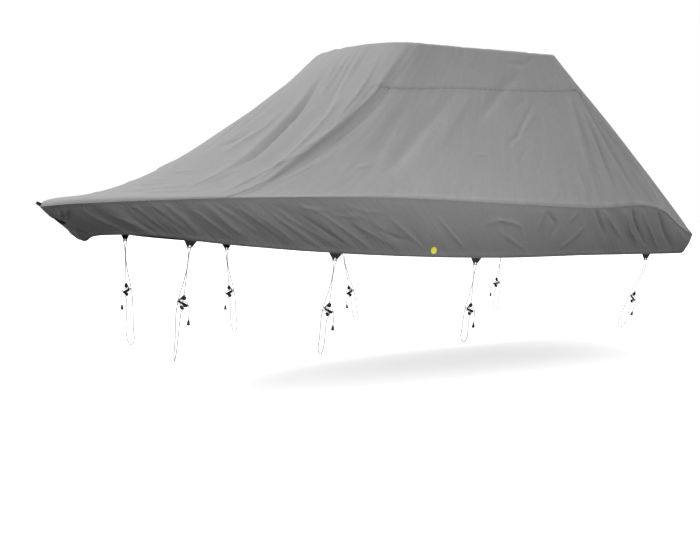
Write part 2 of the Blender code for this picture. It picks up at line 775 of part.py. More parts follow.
def round_patch(finish, group):
    """A plain round patch near the port hem."""
    along, down = np.array(rail_over(PATCH_ALONG)), np.array(PATCH_DOWN)
    normal = Vector(outward(skirt, along, down))
    centre = Vector(skirt_point(along, down, PORT))
    mesh = bpy.data.meshes.new("round_patch")
    bm = bmesh.new()
    bmesh.ops.create_cone(
        bm,
        cap_ends=True,
        segments=32,
        radius1=PATCH_RADIUS,
        radius2=PATCH_RADIUS,
        depth=PATCH_THICK,
    )
    bm.to_mesh(mesh)
    bm.free()
    patch = add("round_patch", mesh, finish, group)
    patch.rotation_mode = "QUATERNION"
    patch.rotation_quaternion = normal.to_track_quat("Z", "Y")
    patch.location = centre + normal * (CLOTH + 2 * SEAT + PATCH_THICK / 2)
    return patch


# ---------------------------------------------------------------- the whole cover


def main():
    for item in list(bpy.data.objects):
        bpy.data.objects.remove(item)
    group = collection()
    top_cloth = material("top_cloth", (0.33, 0.33, 0.335), 0.85)
    skirt_cloth = material("skirt_cloth", (0.17, 0.17, 0.175), 0.85)
    webbing = material("webbing", (0.012, 0.012, 0.012), 0.8)
    cord = material("rope", (0.85, 0.84, 0.80), 0.8)
    plastic = material("hook", (0.012, 0.012, 0.012), 0.45)
    yellow = material("patch", (0.55, 0.52, 0.03), 0.6)
    centre_panel(top_cloth, group)
    bow_tab(webbing, group)
    stem_tab(webbing, group)
    round_patch(yellow, group)
    for side, word in ((PORT, "port"), (STARBOARD, "starboard")):
        side_panel(f"side_panel_{word}", side, top_cloth, group)
        skirt_panel(f"skirt_{word}", side, skirt_cloth, group)
        for number, tie in enumerate(TIES, 1):
            tie_frame = TieFrame(tie, side)
            hem_tab(f"tab_{word}_{number}", tie_frame, webbing, group)
            rope_hook(f"hook_{word}_{number}", tie_frame, plastic, group)
            rope(f"rope_{word}_{number}", tie_frame, cord, group)
            rope_end(f"rope_end_{word}_{number}", tie_frame, plastic, group)


main()
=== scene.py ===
"""The looks of a fitted boat cover: sewn cloth, webbing, tie ropes and hooks in a plain studio.

Metres, +X aft, +Y to starboard, +Z up, from the point under the middle of the roof where the cover
is held up. The tables are in the ship's own measures: x aft of the bow tip, half breadths from the
centreline and heights above the ground. "Along" is the distance along the rail seam from the bow
tip, and "down" the share of the way down a slope or down the skirt.
"""

import logging
import math
from dataclasses import dataclass, field, replace
from enum import Enum
from typing import Callable, NamedTuple, Sequence

import bmesh
import bpy
import numpy as np
from bpy.types import Material, Mesh, Node, NodeTree, Object
from mathutils import Matrix, Vector


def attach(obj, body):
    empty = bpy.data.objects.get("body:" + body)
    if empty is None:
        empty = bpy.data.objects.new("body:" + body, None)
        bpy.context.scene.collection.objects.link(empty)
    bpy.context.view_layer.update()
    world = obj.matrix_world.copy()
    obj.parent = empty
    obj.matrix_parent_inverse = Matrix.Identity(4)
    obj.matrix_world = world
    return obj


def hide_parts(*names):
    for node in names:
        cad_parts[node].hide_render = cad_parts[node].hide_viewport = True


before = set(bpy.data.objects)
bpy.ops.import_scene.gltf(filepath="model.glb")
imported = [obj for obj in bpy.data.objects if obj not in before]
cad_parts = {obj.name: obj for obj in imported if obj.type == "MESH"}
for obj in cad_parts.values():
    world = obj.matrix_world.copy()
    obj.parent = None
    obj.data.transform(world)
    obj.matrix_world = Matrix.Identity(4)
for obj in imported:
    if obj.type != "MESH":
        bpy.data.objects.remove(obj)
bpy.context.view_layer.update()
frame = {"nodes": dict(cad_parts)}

LOG = logging.getLogger("boat_cover")
BODY = "root"

Array = np.ndarray
Points = Array
Shape = Callable[[Array, Array], Points]

# ---------------------------------------------------------------- sizes shared with the solids

MOUNT_X = 3.95
MOUNT_HEIGHT = 3.180
MERGE = 0.00001
SOLID_CLOTH = 0.002


class Side(Enum):
    """The two halves of the cover; the value is the sign of Y."""

    PORT = -1
    STARBOARD = 1

    @property
    def word(self) -> str:
        """The side as it stands in a piece's name."""
        return self.name.lower()


class Hull(NamedTuple):
    """Rail seam and hem at one place along."""

    along: float
    x: float
    half: float
    rail: float
    hem_x: float
    hem_half: float
    hem: float


HULL = [
    Hull(0.00, -0.030, 0.000, 1.624, 0.330, 0.000, 1.338),
    Hull(0.12, 0.005, 0.115, 1.632, 0.335, 0.075, 1.345),
    Hull(0.30, 0.095, 0.275, 1.645, 0.345, 0.185, 1.380),
    Hull(0.60, 0.310, 0.490, 1.659, 0.480, 0.420, 1.400),
    Hull(1.00, 0.650, 0.705, 1.676, 0.760, 0.650, 1.385),
    Hull(1.50, 1.100, 0.890, 1.690, 1.150, 0.835, 1.330),
    Hull(2.20, 1.770, 1.070, 1.699, 1.800, 1.005, 1.262),
    Hull(3.10, 2.660, 1.177, 1.694, 2.670, 1.115, 1.196),
    Hull(4.30, 3.855, 1.200, 1.643, 3.855, 1.140, 1.142),
    Hull(5.50, 5.055, 1.194, 1.594, 5.055, 1.140, 1.130),
    Hull(6.40, 5.955, 1.180, 1.584, 5.950, 1.130, 1.115),
    Hull(6.55, 6.095, 1.176, 1.545, 6.100, 1.125, 1.112),
    Hull(6.70, 6.235, 1.172, 1.455, 6.240, 1.120, 1.110),
    Hull(6.85, 6.385, 1.168, 1.360, 6.360, 1.110, 1.109),
    Hull(7.00, 6.530, 1.160, 1.305, 6.450, 1.095, 1.109),
    Hull(7.10, 6.600, 1.110, 1.298, 6.478, 1.040, 1.108),
    Hull(7.25, 6.610, 0.960, 1.300, 6.480, 0.920, 1.108),
    Hull(7.60, 6.610, 0.610, 1.300, 6.480, 0.590, 1.108),
    Hull(8.20, 6.610, 0.000, 1.300, 6.480, 0.000, 1.108),
]
HALF_GIRTH = HULL[-1].along


class Roof(NamedTuple):
    """The roof's outline, from the middle of its front edge to the middle of its aft edge."""

    around: float
    x: float
    half: float


ROOF = [
    Roof(0.000, 2.780, 0.000),
    Roof(0.100, 2.812, 0.310),
    Roof(0.180, 2.900, 0.570),
    Roof(0.235, 3.000, 0.735),
    Roof(0.285, 3.140, 0.805),
    Roof(0.400, 3.480, 0.810),
    Roof(0.620, 4.180, 0.810),
    Roof(0.770, 4.700, 0.808),
    Roof(0.810, 4.860, 0.795),
    Roof(0.835, 4.915, 0.740),
    Roof(0.860, 4.925, 0.650),
    Roof(1.000, 4.925, 0.000),
]
EAVE_HEIGHT = 3.112
EAVE_RISE = 0.012
EAVE_START = 3.07
CROWN = 0.060
CROWN_X = 3.70
CROWN_FALL = 0.77
CROWN_RUN = 0.92
ROOF_HALF = 0.81
RIDGE_INSET = 0.12


class Drape(NamedTuple):
    """How a spoke falls from the eave to the rail, and where the seam under the roof crosses it."""

    along: float
    around: float
    foot: float
    head: float
    roll: float
    seam: float


DRAPE = [
    Drape(0.00, 0.000, 0.00, 1.28, 0.060, 0.270),
    Drape(0.55, 0.060, 0.06, 1.36, 0.050, 0.250),
    Drape(1.05, 0.135, 0.14, 1.48, 0.030, 0.230),
    Drape(1.60, 0.262, 0.24, 1.50, 0.012, 0.212),
    Drape(2.30, 0.335, 0.42, 1.40, 0.000, 0.232),
    Drape(3.40, 0.480, 0.75, 1.15, 0.000, 0.252),
    Drape(4.60, 0.655, 0.90, 1.06, 0.000, 0.252),
    Drape(5.50, 0.765, 1.00, 1.02, 0.000, 0.245),
    Drape(6.40, 0.812, 1.05, 0.97, 0.000, 0.235),
    Drape(6.85, 0.825, 1.10, 0.94, 0.000, 0.235),
    Drape(7.15, 0.845, 1.10, 0.94, 0.000, 0.235),
    Drape(8.20, 1.000, 1.05, 1.00, 0.000, 0.235),
]
ROLL_WIDTH = 0.035


class Lean(NamedTuple):
    """How far a line of the skirt's weave runs aft between the rail and the hem."""

    along: float
    aft: float


LEAN = [
    Lean(0.0, 0.00),
    Lean(0.4, 0.15),
    Lean(0.7, 0.24),
    Lean(1.1, 0.33),
    Lean(1.5, 0.44),
    Lean(2.0, 0.58),
    Lean(2.5, 0.58),
    Lean(3.0, 0.48),
    Lean(3.8, 0.28),
    Lean(4.6, 0.15),
    Lean(5.2, 0.26),
    Lean(5.9, 0.42),
    Lean(6.4, 0.24),
    Lean(7.0, 0.00),
    Lean(8.2, 0.00),
]

CREASE_SEAM = 1.60
STERN_SEAM = 6.40


class Fold(NamedTuple):
    """A broad fold of the skirt's solid, a ridge above zero and a trough below it."""

    along: float
    width: float
    height: float
    top: float
    foot: float


FOLD_SHARPNESS = 1.6
FOLD_FADE = 0.8
SKIRT_FOLDS = {
    Side.PORT: [
        Fold(0.20, 0.05, -0.006, 0.02, 0.45),
        Fold(0.34, 0.07, 0.009, 0.05, 1.00),
        Fold(0.50, 0.06, -0.008, 0.05, 1.00),
        Fold(0.64, 0.07, 0.010, 0.04, 1.05),
        Fold(0.80, 0.06, -0.009, 0.04, 1.00),
        Fold(0.96, 0.07, 0.010, 0.04, 1.05),
        Fold(1.14, 0.07, -0.009, 0.05, 1.00),
        Fold(1.36, 0.07, 0.010, 0.08, 1.05),
        Fold(1.52, 0.06, -0.008, 0.08, 1.00),
        Fold(1.72, 0.07, 0.011, 0.12, 1.05),
        Fold(1.94, 0.08, -0.010, 0.14, 1.05),
        Fold(2.16, 0.08, 0.010, 0.15, 1.05),
        Fold(2.40, 0.08, -0.009, 0.18, 1.00),
        Fold(2.66, 0.09, 0.009, 0.22, 1.05),
        Fold(3.00, 0.10, -0.008, 0.20, 0.95),
        Fold(3.34, 0.09, 0.006, 0.25, 0.85),
        Fold(4.30, 0.10, 0.008, 0.15, 1.00),
        Fold(4.52, 0.08, -0.007, 0.20, 0.95),
        Fold(4.90, 0.09, 0.008, 0.15, 0.95),
        Fold(5.34, 0.08, -0.009, 0.04, 1.00),
        Fold(5.52, 0.08, 0.010, 0.04, 1.05),
        Fold(5.72, 0.07, -0.009, 0.03, 1.00),
        Fold(5.90, 0.08, 0.010, 0.03, 1.05),
        Fold(6.62, 0.09, 0.009, 0.05, 1.00),
        Fold(7.40, 0.12, 0.009, 0.05, 1.00),
        Fold(7.80, 0.12, -0.008, 0.05, 1.00),
    ],
    Side.STARBOARD: [
        Fold(0.22, 0.06, 0.007, 0.05, 0.80),
        Fold(0.42, 0.07, -0.008, 0.05, 1.00),
        Fold(0.60, 0.07, 0.010, 0.04, 1.05),
        Fold(0.84, 0.08, -0.009, 0.05, 1.00),
        Fold(1.08, 0.07, 0.010, 0.04, 1.05),
        Fold(1.36, 0.08, -0.009, 0.08, 1.00),
        Fold(1.64, 0.08, 0.011, 0.10, 1.05),
        Fold(1.94, 0.08, -0.010, 0.12, 1.00),
        Fold(2.24, 0.09, 0.010, 0.15, 1.05),
        Fold(2.66, 0.10, -0.008, 0.20, 1.00),
        Fold(3.20, 0.10, 0.008, 0.20, 0.95),
        Fold(4.00, 0.11, -0.007, 0.20, 0.95),
        Fold(4.70, 0.10, 0.008, 0.15, 1.00),
        Fold(5.30, 0.09, -0.009, 0.05, 1.00),
        Fold(5.58, 0.08, 0.010, 0.04, 1.05),
        Fold(5.86, 0.08, -0.009, 0.04, 1.00),
        Fold(6.56, 0.09, 0.009, 0.05, 1.00),
        Fold(7.50, 0.12, -0.009, 0.05, 1.00),
        Fold(7.90, 0.10, 0.007, 0.05, 1.00),
    ],
}


class Tie(NamedTuple):
    """One tab and its rope: its lean inboard and rake forward in degrees, the hook's drop and its length."""

    along: float
    lean: float
    rake: float
    drop: float
    length: float


TIES = [
    Tie(1.26, 11, 7, 0.427, 2.224),
    Tie(2.55, 11, 3, 0.402, 1.974),
    Tie(4.03, 12, -2, 0.400, 1.810),
    Tie(6.30, 8, 17, 0.380, 1.795),
]
TAB_WIDTH = 0.126
TAB_TIP = 0.036
TAB_LENGTH = 0.066
TAB_THICK = 0.003
TAB_HOLE = 0.009
TAB_HOLE_DROP = 0.050
TAB_HOLD = 0.6
SEAT = 0.0004
HOOK_THICK = 0.008
ROPE_DIAMETER = 0.008
FOOT_HEIGHT = 0.36
END_LENGTH = 0.042
END_TOP = 0.009
END_FOOT = 0.014
PATCH_ALONG = 3.59
PATCH_DOWN = 0.88
PATCH_RADIUS = 0.031
PATCH_THICK = 0.002
NOSE_TAB = [(0.25, 0.0), (0.95, 0.0), (1.10, 0.040), (0.60, 0.046)]
NOSE_TAB_THICK = 0.005


class Saddle(NamedTuple):
    """The saddle's two edges on the stem, as shares of the way down, at one place along."""

    along: float
    top: float
    foot: float


SADDLE = [
    Saddle(0.00, 0.37, 0.50),
    Saddle(0.03, 0.31, 0.50),
    Saddle(0.05, 0.38, 0.49),
    Saddle(0.09, 0.36, 0.47),
    Saddle(0.12, 0.41, 0.44),
]
SADDLE_GAP = 0.0010
SADDLE_STEM_LIFT = 0.0039
SADDLE_MIDDLE = 0.45
SADDLE_HOLD = 0.12


class Bend(NamedTuple):
    """A point of the rope's route in millimetres: along the hem, up the tie and out of the hull."""

    origin: str
    across: float
    up: float
    out: float


ROUTE = [
    Bend("hook", 0, 26, 0),
    Bend("hook", 1, 110, 0),
    Bend("hole", 6, -96, 3),
    Bend("hole", 8, -38, 7),
    Bend("hole", 13, -17, 10),
    Bend("hole", 12, -3, 9),
    Bend("hole", 4, 2, 4),
    Bend("hole", -4, 2, -4),
    Bend("hole", -12, -3, -9),
    Bend("hole", -13, -17, -10),
    Bend("hole", -8, -38, -7),
    Bend("hook", -16, 130, -8),
    Bend("hook", -38, 8, -20),
    Bend("hook", -46, -60, -24),
    Bend("foot", -32, 130, -50),
    Bend("foot", -29, 36, -56),
    Bend("foot", -26, 9, -45),
    Bend("foot", -22, 0, -25),
    Bend("foot", -18, 9, -5),
    Bend("foot", -15, 36, 6),
    Bend("hook", -10, -150, 8),
    Bend("hook", -8, -112, 10),
    Bend("hook", 5, -96, 10),
    Bend("hook", 10, -82, 10),
    Bend("hook", 2, -70, 10),
    Bend("hook", -31, -52, 10.5),
    Bend("hook", -46, -44, 8),
    Bend("hook", -51, -36, 0),
    Bend("hook", -47, -28, -8),
    Bend("hook", -36, -22, -10.5),
    Bend("hook", -23, -20, -8.5),
    Bend("hook", -17, -21.5, 0),
    Bend("hook", -10, -24, 8.5),
    Bend("hook", 5, -27, 10.5),
    Bend("hook", 27, -34, 10.5),
    Bend("hook", 43, -56, 9),
    Bend("hook", 52, -95, 4),
    Bend("hook", 57, -178, 0),
]

HEAD_RADIUS = 21
HEAD_LEFT = [108, 134, 160]
HOOK_EDGE = [
    (-30, -4),
    (-39, -16),
    (-42, -28),
    (-40, -38),
    (-34, -45),
    (-9, -55),
    (-3, -60),
    (-9, -64),
    (-28, -66),
    (-29, -74),
    (-14, -96),
    (-5, -99),
    (4, -94),
    (10, -80),
    (17, -73),
    (30, -74),
    (39, -68),
    (41, -58),
    (34, -50),
    (10, -40),
    (-12, -31),
    (-26, -27),
    (-31, -20),
    (-29, -12),
]
HEAD_RIGHT = [215, 245, 275, 305, 335, 5, 35, 72]
COLLAR_HALF = 6.5
COLLAR_TOP = 25.5

# ---------------------------------------------------------------- creases seen on the cloth


class Crease(NamedTuple):
    """One crease: half its width, its height (below zero a trough) and its line as (along, down)."""

    width: float
    height: float
    line: tuple[tuple[float, float], ...]


# The slopes: the corner crease, the bow slope's long folds, the flat side's soft hollows and sharper
# pull lines, and the drapes that fan out towards the stern.
SLOPE_CREASES = [Crease(*row) for row in (
    (0.030, 0.013, (
        (1.64, 0.00), (1.65, 0.10), (1.67, 0.19), (1.69, 0.26), (1.66, 0.33), (1.63, 0.41), (1.60, 0.47),
        (1.55, 0.55), (1.53, 0.64), (1.55, 0.72), (1.60, 0.81), (1.60, 0.95),
    )),
    (0.045, -0.012, (
        (1.95, 0.14), (1.93, 0.26), (1.88, 0.34), (1.80, 0.42), (1.76, 0.50), (1.74, 0.57), (1.71, 0.64),
        (1.71, 0.81),
    )),
    (0.016, 0.004, ((1.78, 0.50), (1.72, 0.58), (1.68, 0.66))),
    (0.014, 0.004, ((1.90, 0.44), (1.82, 0.52), (1.78, 0.60))),
    (0.014, 0.004, ((1.84, 0.64), (1.76, 0.71), (1.70, 0.80))),
    (0.040, 0.010, (
        (0.66, 0.16), (0.79, 0.23), (0.88, 0.31), (0.91, 0.40), (0.94, 0.50), (0.97, 0.62), (0.96, 0.76),
    )),
    (0.024, -0.012, (
        (0.74, 0.14), (0.88, 0.23), (0.97, 0.31), (1.01, 0.41), (1.04, 0.50), (1.07, 0.60), (1.07, 0.70),
    )),
    (0.110, -0.012, ((1.04, 0.10), (1.12, 0.18), (1.20, 0.28), (1.24, 0.40), (1.27, 0.52), (1.29, 0.66))),
    (0.014, 0.005, ((0.70, 0.06), (0.82, 0.11), (1.01, 0.20))),
    (0.020, -0.005, ((1.09, 0.10), (1.18, 0.21), (1.29, 0.32), (1.36, 0.42))),
    (0.024, 0.007, ((1.60, 0.26), (1.60, 0.37), (1.57, 0.46), (1.48, 0.56), (1.45, 0.65))),
    (0.014, 0.005, ((1.00, 0.69), (0.97, 0.76), (0.97, 0.84))),
    (0.014, 0.005, ((1.12, 0.58), (1.08, 0.66), (1.05, 0.73), (1.03, 0.80))),
    (0.018, 0.006, ((0.99, 0.02), (1.06, 0.09), (1.12, 0.16), (1.19, 0.24))),
    (0.016, 0.004, ((0.91, 0.04), (0.99, 0.14), (1.05, 0.24))),
    (0.018, 0.008, ((1.11, 0.03), (1.17, 0.09), (1.20, 0.14), (1.24, 0.20), (1.32, 0.27), (1.38, 0.35))),
    (0.016, -0.004, ((1.19, 0.02), (1.23, 0.09), (1.27, 0.16))),
    (0.018, 0.008, ((1.36, 0.04), (1.44, 0.15), (1.49, 0.25), (1.50, 0.32), (1.54, 0.40))),
    (0.022, 0.009, ((1.33, 0.24), (1.37, 0.34), (1.39, 0.46), (1.41, 0.56), (1.44, 0.67), (1.48, 0.79))),
    (0.018, 0.006, ((1.58, 0.56), (1.47, 0.62), (1.40, 0.69), (1.38, 0.79), (1.41, 0.92))),
    (0.028, 0.006, ((0.72, 0.32), (0.73, 0.41), (0.66, 0.47), (0.62, 0.55))),
    (0.026, -0.005, ((0.60, 0.42), (0.55, 0.47), (0.42, 0.51))),
    (0.020, 0.005, ((0.12, 0.60), (0.26, 0.645), (0.44, 0.67), (0.60, 0.66))),
    (0.018, 0.004, ((0.16, 0.70), (0.32, 0.725), (0.52, 0.73))),
    (0.020, -0.004, ((0.20, 0.76), (0.40, 0.78), (0.62, 0.77))),
    (0.018, 0.005, ((0.30, 0.83), (0.52, 0.84), (0.76, 0.82), (0.95, 0.79))),
    (0.016, 0.004, ((0.66, 0.90), (0.88, 0.88), (1.12, 0.87))),
    (0.022, 0.004, ((0.02, 0.30), (0.10, 0.42), (0.22, 0.52))),
    (0.020, -0.003, ((0.20, 0.22), (0.30, 0.36), (0.34, 0.48))),
    (0.055, -0.006, ((2.56, 0.34), (2.55, 0.45), (2.58, 0.57), (2.59, 0.70))),
    (0.055, -0.006, ((3.09, 0.38), (3.02, 0.51), (2.99, 0.59), (2.94, 0.68), (2.87, 0.79))),
    (0.014, 0.003, ((2.42, 0.725), (2.48, 0.715), (2.55, 0.71))),
    (0.050, -0.008, ((3.36, 0.28), (3.17, 0.45), (3.03, 0.53), (2.92, 0.64), (2.86, 0.79))),
    (0.070, 0.006, ((3.70, 0.30), (3.53, 0.43), (3.40, 0.60))),
    (0.050, -0.008, ((4.70, 0.16), (4.40, 0.23), (4.15, 0.34), (3.95, 0.44))),
    (0.016, -0.005, ((4.96, 0.32), (4.72, 0.44), (4.56, 0.54), (4.41, 0.58))),
    (0.020, 0.0025, ((4.98, 0.38), (4.78, 0.46), (4.62, 0.56))),
    (0.012, -0.0025, ((4.75, 0.50), (4.56, 0.555), (4.38, 0.61))),
    (0.014, -0.0025, ((4.80, 0.31), (4.68, 0.335), (4.56, 0.365))),
    (0.012, 0.002, ((3.92, 0.68), (4.01, 0.67), (4.11, 0.67))),
    (0.012, -0.0025, ((4.68, 0.63), (4.59, 0.69))),
    (0.012, -0.002, ((4.92, 0.66), (4.85, 0.72), (4.79, 0.77))),
    (0.012, 0.002, ((5.04, 0.88), (5.00, 0.92), (4.95, 0.96))),
    (0.014, -0.004, ((3.74, 0.12), (3.68, 0.125), (3.60, 0.13))),
    (0.014, -0.004, ((4.52, 0.085), (4.74, 0.08), (4.98, 0.08))),
    (0.014, -0.004, ((4.98, 0.065), (5.08, 0.05), (5.18, 0.04))),
    (0.012, 0.004, ((1.70, 0.19), (1.71, 0.23), (1.73, 0.27))),
    (0.012, 0.004, ((1.80, 0.19), (1.81, 0.23), (1.82, 0.27))),
    (0.012, 0.003, ((1.90, 0.20), (1.90, 0.23), (1.91, 0.27))),
    (0.020, -0.006, ((5.12, 0.78), (5.15, 0.89), (5.18, 0.99))),
    (0.024, 0.007, ((5.44, 0.70), (5.42, 0.85), (5.44, 0.98))),
    (0.034, 0.010, ((5.87, 0.29), (5.66, 0.61), (5.59, 0.97))),
    (0.026, -0.012, ((5.93, 0.33), (5.78, 0.63), (5.70, 0.98))),
    (0.026, 0.012, ((6.02, 0.37), (5.92, 0.62), (5.81, 0.98))),
    (0.024, -0.013, ((6.08, 0.40), (5.98, 0.67), (5.89, 0.99))),
    (0.028, 0.014, ((6.18, 0.38), (6.10, 0.68), (6.06, 0.98))),
    (0.026, -0.014, ((6.30, 0.29), (6.24, 0.64), (6.20, 0.97))),
    (0.028, 0.012, ((6.52, 0.30), (6.42, 0.60), (6.36, 0.96))),
    (0.026, -0.010, ((6.62, 0.20), (6.56, 0.45), (6.52, 0.80))),
    (0.030, 0.012, ((6.78, 0.24), (6.68, 0.55), (6.62, 0.90))),
    (0.030, -0.009, ((6.92, 0.16), (6.86, 0.36), (6.88, 0.60))),
    (0.030, 0.008, ((7.20, 0.20), (7.22, 0.45), (7.30, 0.75))),
    (0.040, -0.008, ((7.60, 0.25), (7.56, 0.50), (7.64, 0.85))),
    (0.040, 0.008, ((7.98, 0.10), (7.92, 0.40), (7.95, 0.70))),
)]

# The skirt: slanting bands of thin ridges, fine crossing wrinkles, and the pinched cloth at the stem.
SKIRT_CREASES = [Crease(*row) for row in (
    (0.018, 0.009, ((0.22, 0.06), (0.18, 0.20), (0.14, 0.30))),
    (0.016, 0.008, ((0.27, 0.08), (0.23, 0.22), (0.19, 0.35))),
    (0.016, -0.008, ((0.10, 0.47), (0.13, 0.68), (0.19, 0.92))),
    (0.014, 0.007, ((0.14, 0.66), (0.09, 0.82), (0.07, 0.96))),
    (0.016, 0.0048, ((0.39, 0.10), (0.44, 0.47), (0.50, 0.77), (0.52, 0.96))),
    (0.016, 0.0048, ((0.57, 0.34), (0.65, 0.57), (0.69, 0.83), (0.72, 0.98))),
    (0.018, -0.0048, ((0.71, 0.22), (0.70, 0.60), (0.72, 0.86), (0.72, 0.98))),
    (0.016, 0.0056, ((0.81, 0.08), (0.82, 0.41), (0.83, 0.74))),
    (0.018, -0.0048, ((0.93, 0.20), (0.95, 0.45), (0.97, 0.70), (1.00, 0.92))),
    (0.016, 0.0056, ((1.06, 0.08), (1.08, 0.36), (1.08, 0.68), (1.06, 0.86))),
    (0.016, 0.0048, ((1.23, 0.18), (1.25, 0.42), (1.28, 0.67), (1.31, 0.86))),
    (0.016, 0.0056, ((1.39, 0.08), (1.39, 0.37), (1.39, 0.59), (1.42, 0.76))),
    (0.016, 0.0048, ((1.45, 0.12), (1.50, 0.40), (1.54, 0.73))),
    (0.016, 0.0056, ((1.61, 0.20), (1.64, 0.46), (1.68, 0.79))),
    (0.014, 0.004, ((1.66, 0.24), (1.70, 0.50), (1.74, 0.82))),
    (0.016, 0.0056, ((1.80, 0.30), (1.84, 0.60), (1.90, 0.93))),
    (0.016, 0.0048, ((1.88, 0.22), (1.93, 0.52), (2.06, 0.98))),
    (0.014, -0.006, ((2.02, 0.30), (2.08, 0.60), (2.16, 0.92))),
    (0.016, 0.007, ((2.20, 0.20), (2.28, 0.55), (2.36, 0.92))),
    (0.014, 0.005, ((2.42, 0.40), (2.50, 0.60), (2.62, 0.80))),
    (0.016, -0.006, ((2.62, 0.52), (2.74, 0.66), (2.90, 0.72))),
    (0.014, 0.005, ((2.10, 0.16), (2.22, 0.22), (2.36, 0.24))),
    (0.014, 0.004, ((2.30, 0.30), (2.46, 0.34), (2.60, 0.32))),
    (0.014, 0.004, ((2.56, 0.16), (2.72, 0.24), (2.84, 0.26))),
    (0.016, 0.007, ((2.88, 0.36), (2.94, 0.58), (3.02, 0.84))),
    (0.016, 0.0076, ((3.44, 0.30), (3.52, 0.60), (3.60, 0.80))),
    (0.014, 0.0076, ((4.01, 0.40), (4.20, 0.31), (4.43, 0.38), (4.47, 0.52))),
    (0.012, 0.0057, ((4.17, 0.51), (4.34, 0.70), (4.49, 0.85))),
    (0.010, 0.0076, ((4.82, 0.06), (4.74, 0.27), (4.66, 0.51))),
    (0.022, -0.0114, ((4.84, 0.14), (4.90, 0.34), (4.83, 0.55))),
    (0.010, 0.0057, ((5.27, 0.06), (5.15, 0.21), (5.06, 0.35))),
    (0.012, 0.0076, ((5.27, 0.36), (5.06, 0.64), (4.89, 0.83))),
    (0.022, -0.0171, ((5.50, 0.06), (5.48, 0.26), (5.46, 0.60))),
    (0.020, 0.0152, ((5.60, 0.04), (5.59, 0.29), (5.62, 0.60))),
    (0.018, 0.0152, ((5.87, 0.10), (5.79, 0.45), (5.81, 0.74))),
    (0.022, -0.019, ((6.00, 0.09), (5.94, 0.41), (5.93, 0.80))),
    (0.016, 0.0114, ((6.14, 0.10), (6.12, 0.45), (6.16, 0.85))),
    (0.024, -0.0152, ((6.42, 0.07), (6.45, 0.42), (6.52, 0.80))),
    (0.020, 0.0114, ((6.80, 0.10), (6.84, 0.50), (6.82, 0.90))),
    (0.024, 0.0114, ((7.30, 0.08), (7.28, 0.50), (7.32, 0.94))),
    (0.024, -0.0114, ((7.96, 0.10), (7.92, 0.50), (7.95, 0.94))),
)]

CREASE_POWER = 1.6
CREASE_FADE = 0.55
CREASE_STEP = 0.012
CREASE_FORE = 1.25
CREASE_AFT = 0.75
CREASE_REACH = 3.5
STARBOARD_SHIFT = (0.09, 0.03)
STARBOARD_HEIGHTS = (0.65, 1.1)

# ---------------------------------------------------------------- the cover's surface


def smooth(xs: Array, ys: Array) -> Callable[[Array], Array]:
    """A smooth curve through points.

    Args:
        xs: Where the points are, in rising order.
        ys: The values there.

    Returns:
        A function that gives the curve's value at any place.
    """
    slopes = np.gradient(ys, xs)

    def at(x: Array) -> Array:
        x = np.clip(x, xs[0], xs[-1])
        i = np.clip(np.searchsorted(xs, x, side="right") - 1, 0, len(xs) - 2)
        step = xs[i + 1] - xs[i]
        t = (x - xs[i]) / step
        ends = ys[i] * (1 + 2 * t) * (1 - t) ** 2 + ys[i + 1] * t * t * (3 - 2 * t)
        return ends + step * t * (1 - t) * (slopes[i] * (1 - t) - slopes[i + 1] * t)

    return at


def spline(rows: Sequence[NamedTuple], column: str) -> Callable[[Array], Array]:
    """A smooth curve through one column of a table, against the table's first column."""
    xs = np.array([row[0] for row in rows], dtype=float)
    return smooth(xs, np.array([getattr(row, column) for row in rows], dtype=float))


def eased(share: Array) -> Array:
    """A soft step from 0 to 1."""
    share = np.clip(share, 0, 1)
    return share * share * (3 - 2 * share)


def run_along(points: Points) -> Array:
    """How far along its line each point lies, from the line's first."""
    steps = np.linalg.norm(np.diff(points, axis=-2), axis=-1)
    return np.concatenate([np.zeros((*steps.shape[:-1], 1)), np.cumsum(steps, axis=-1)], axis=-1)


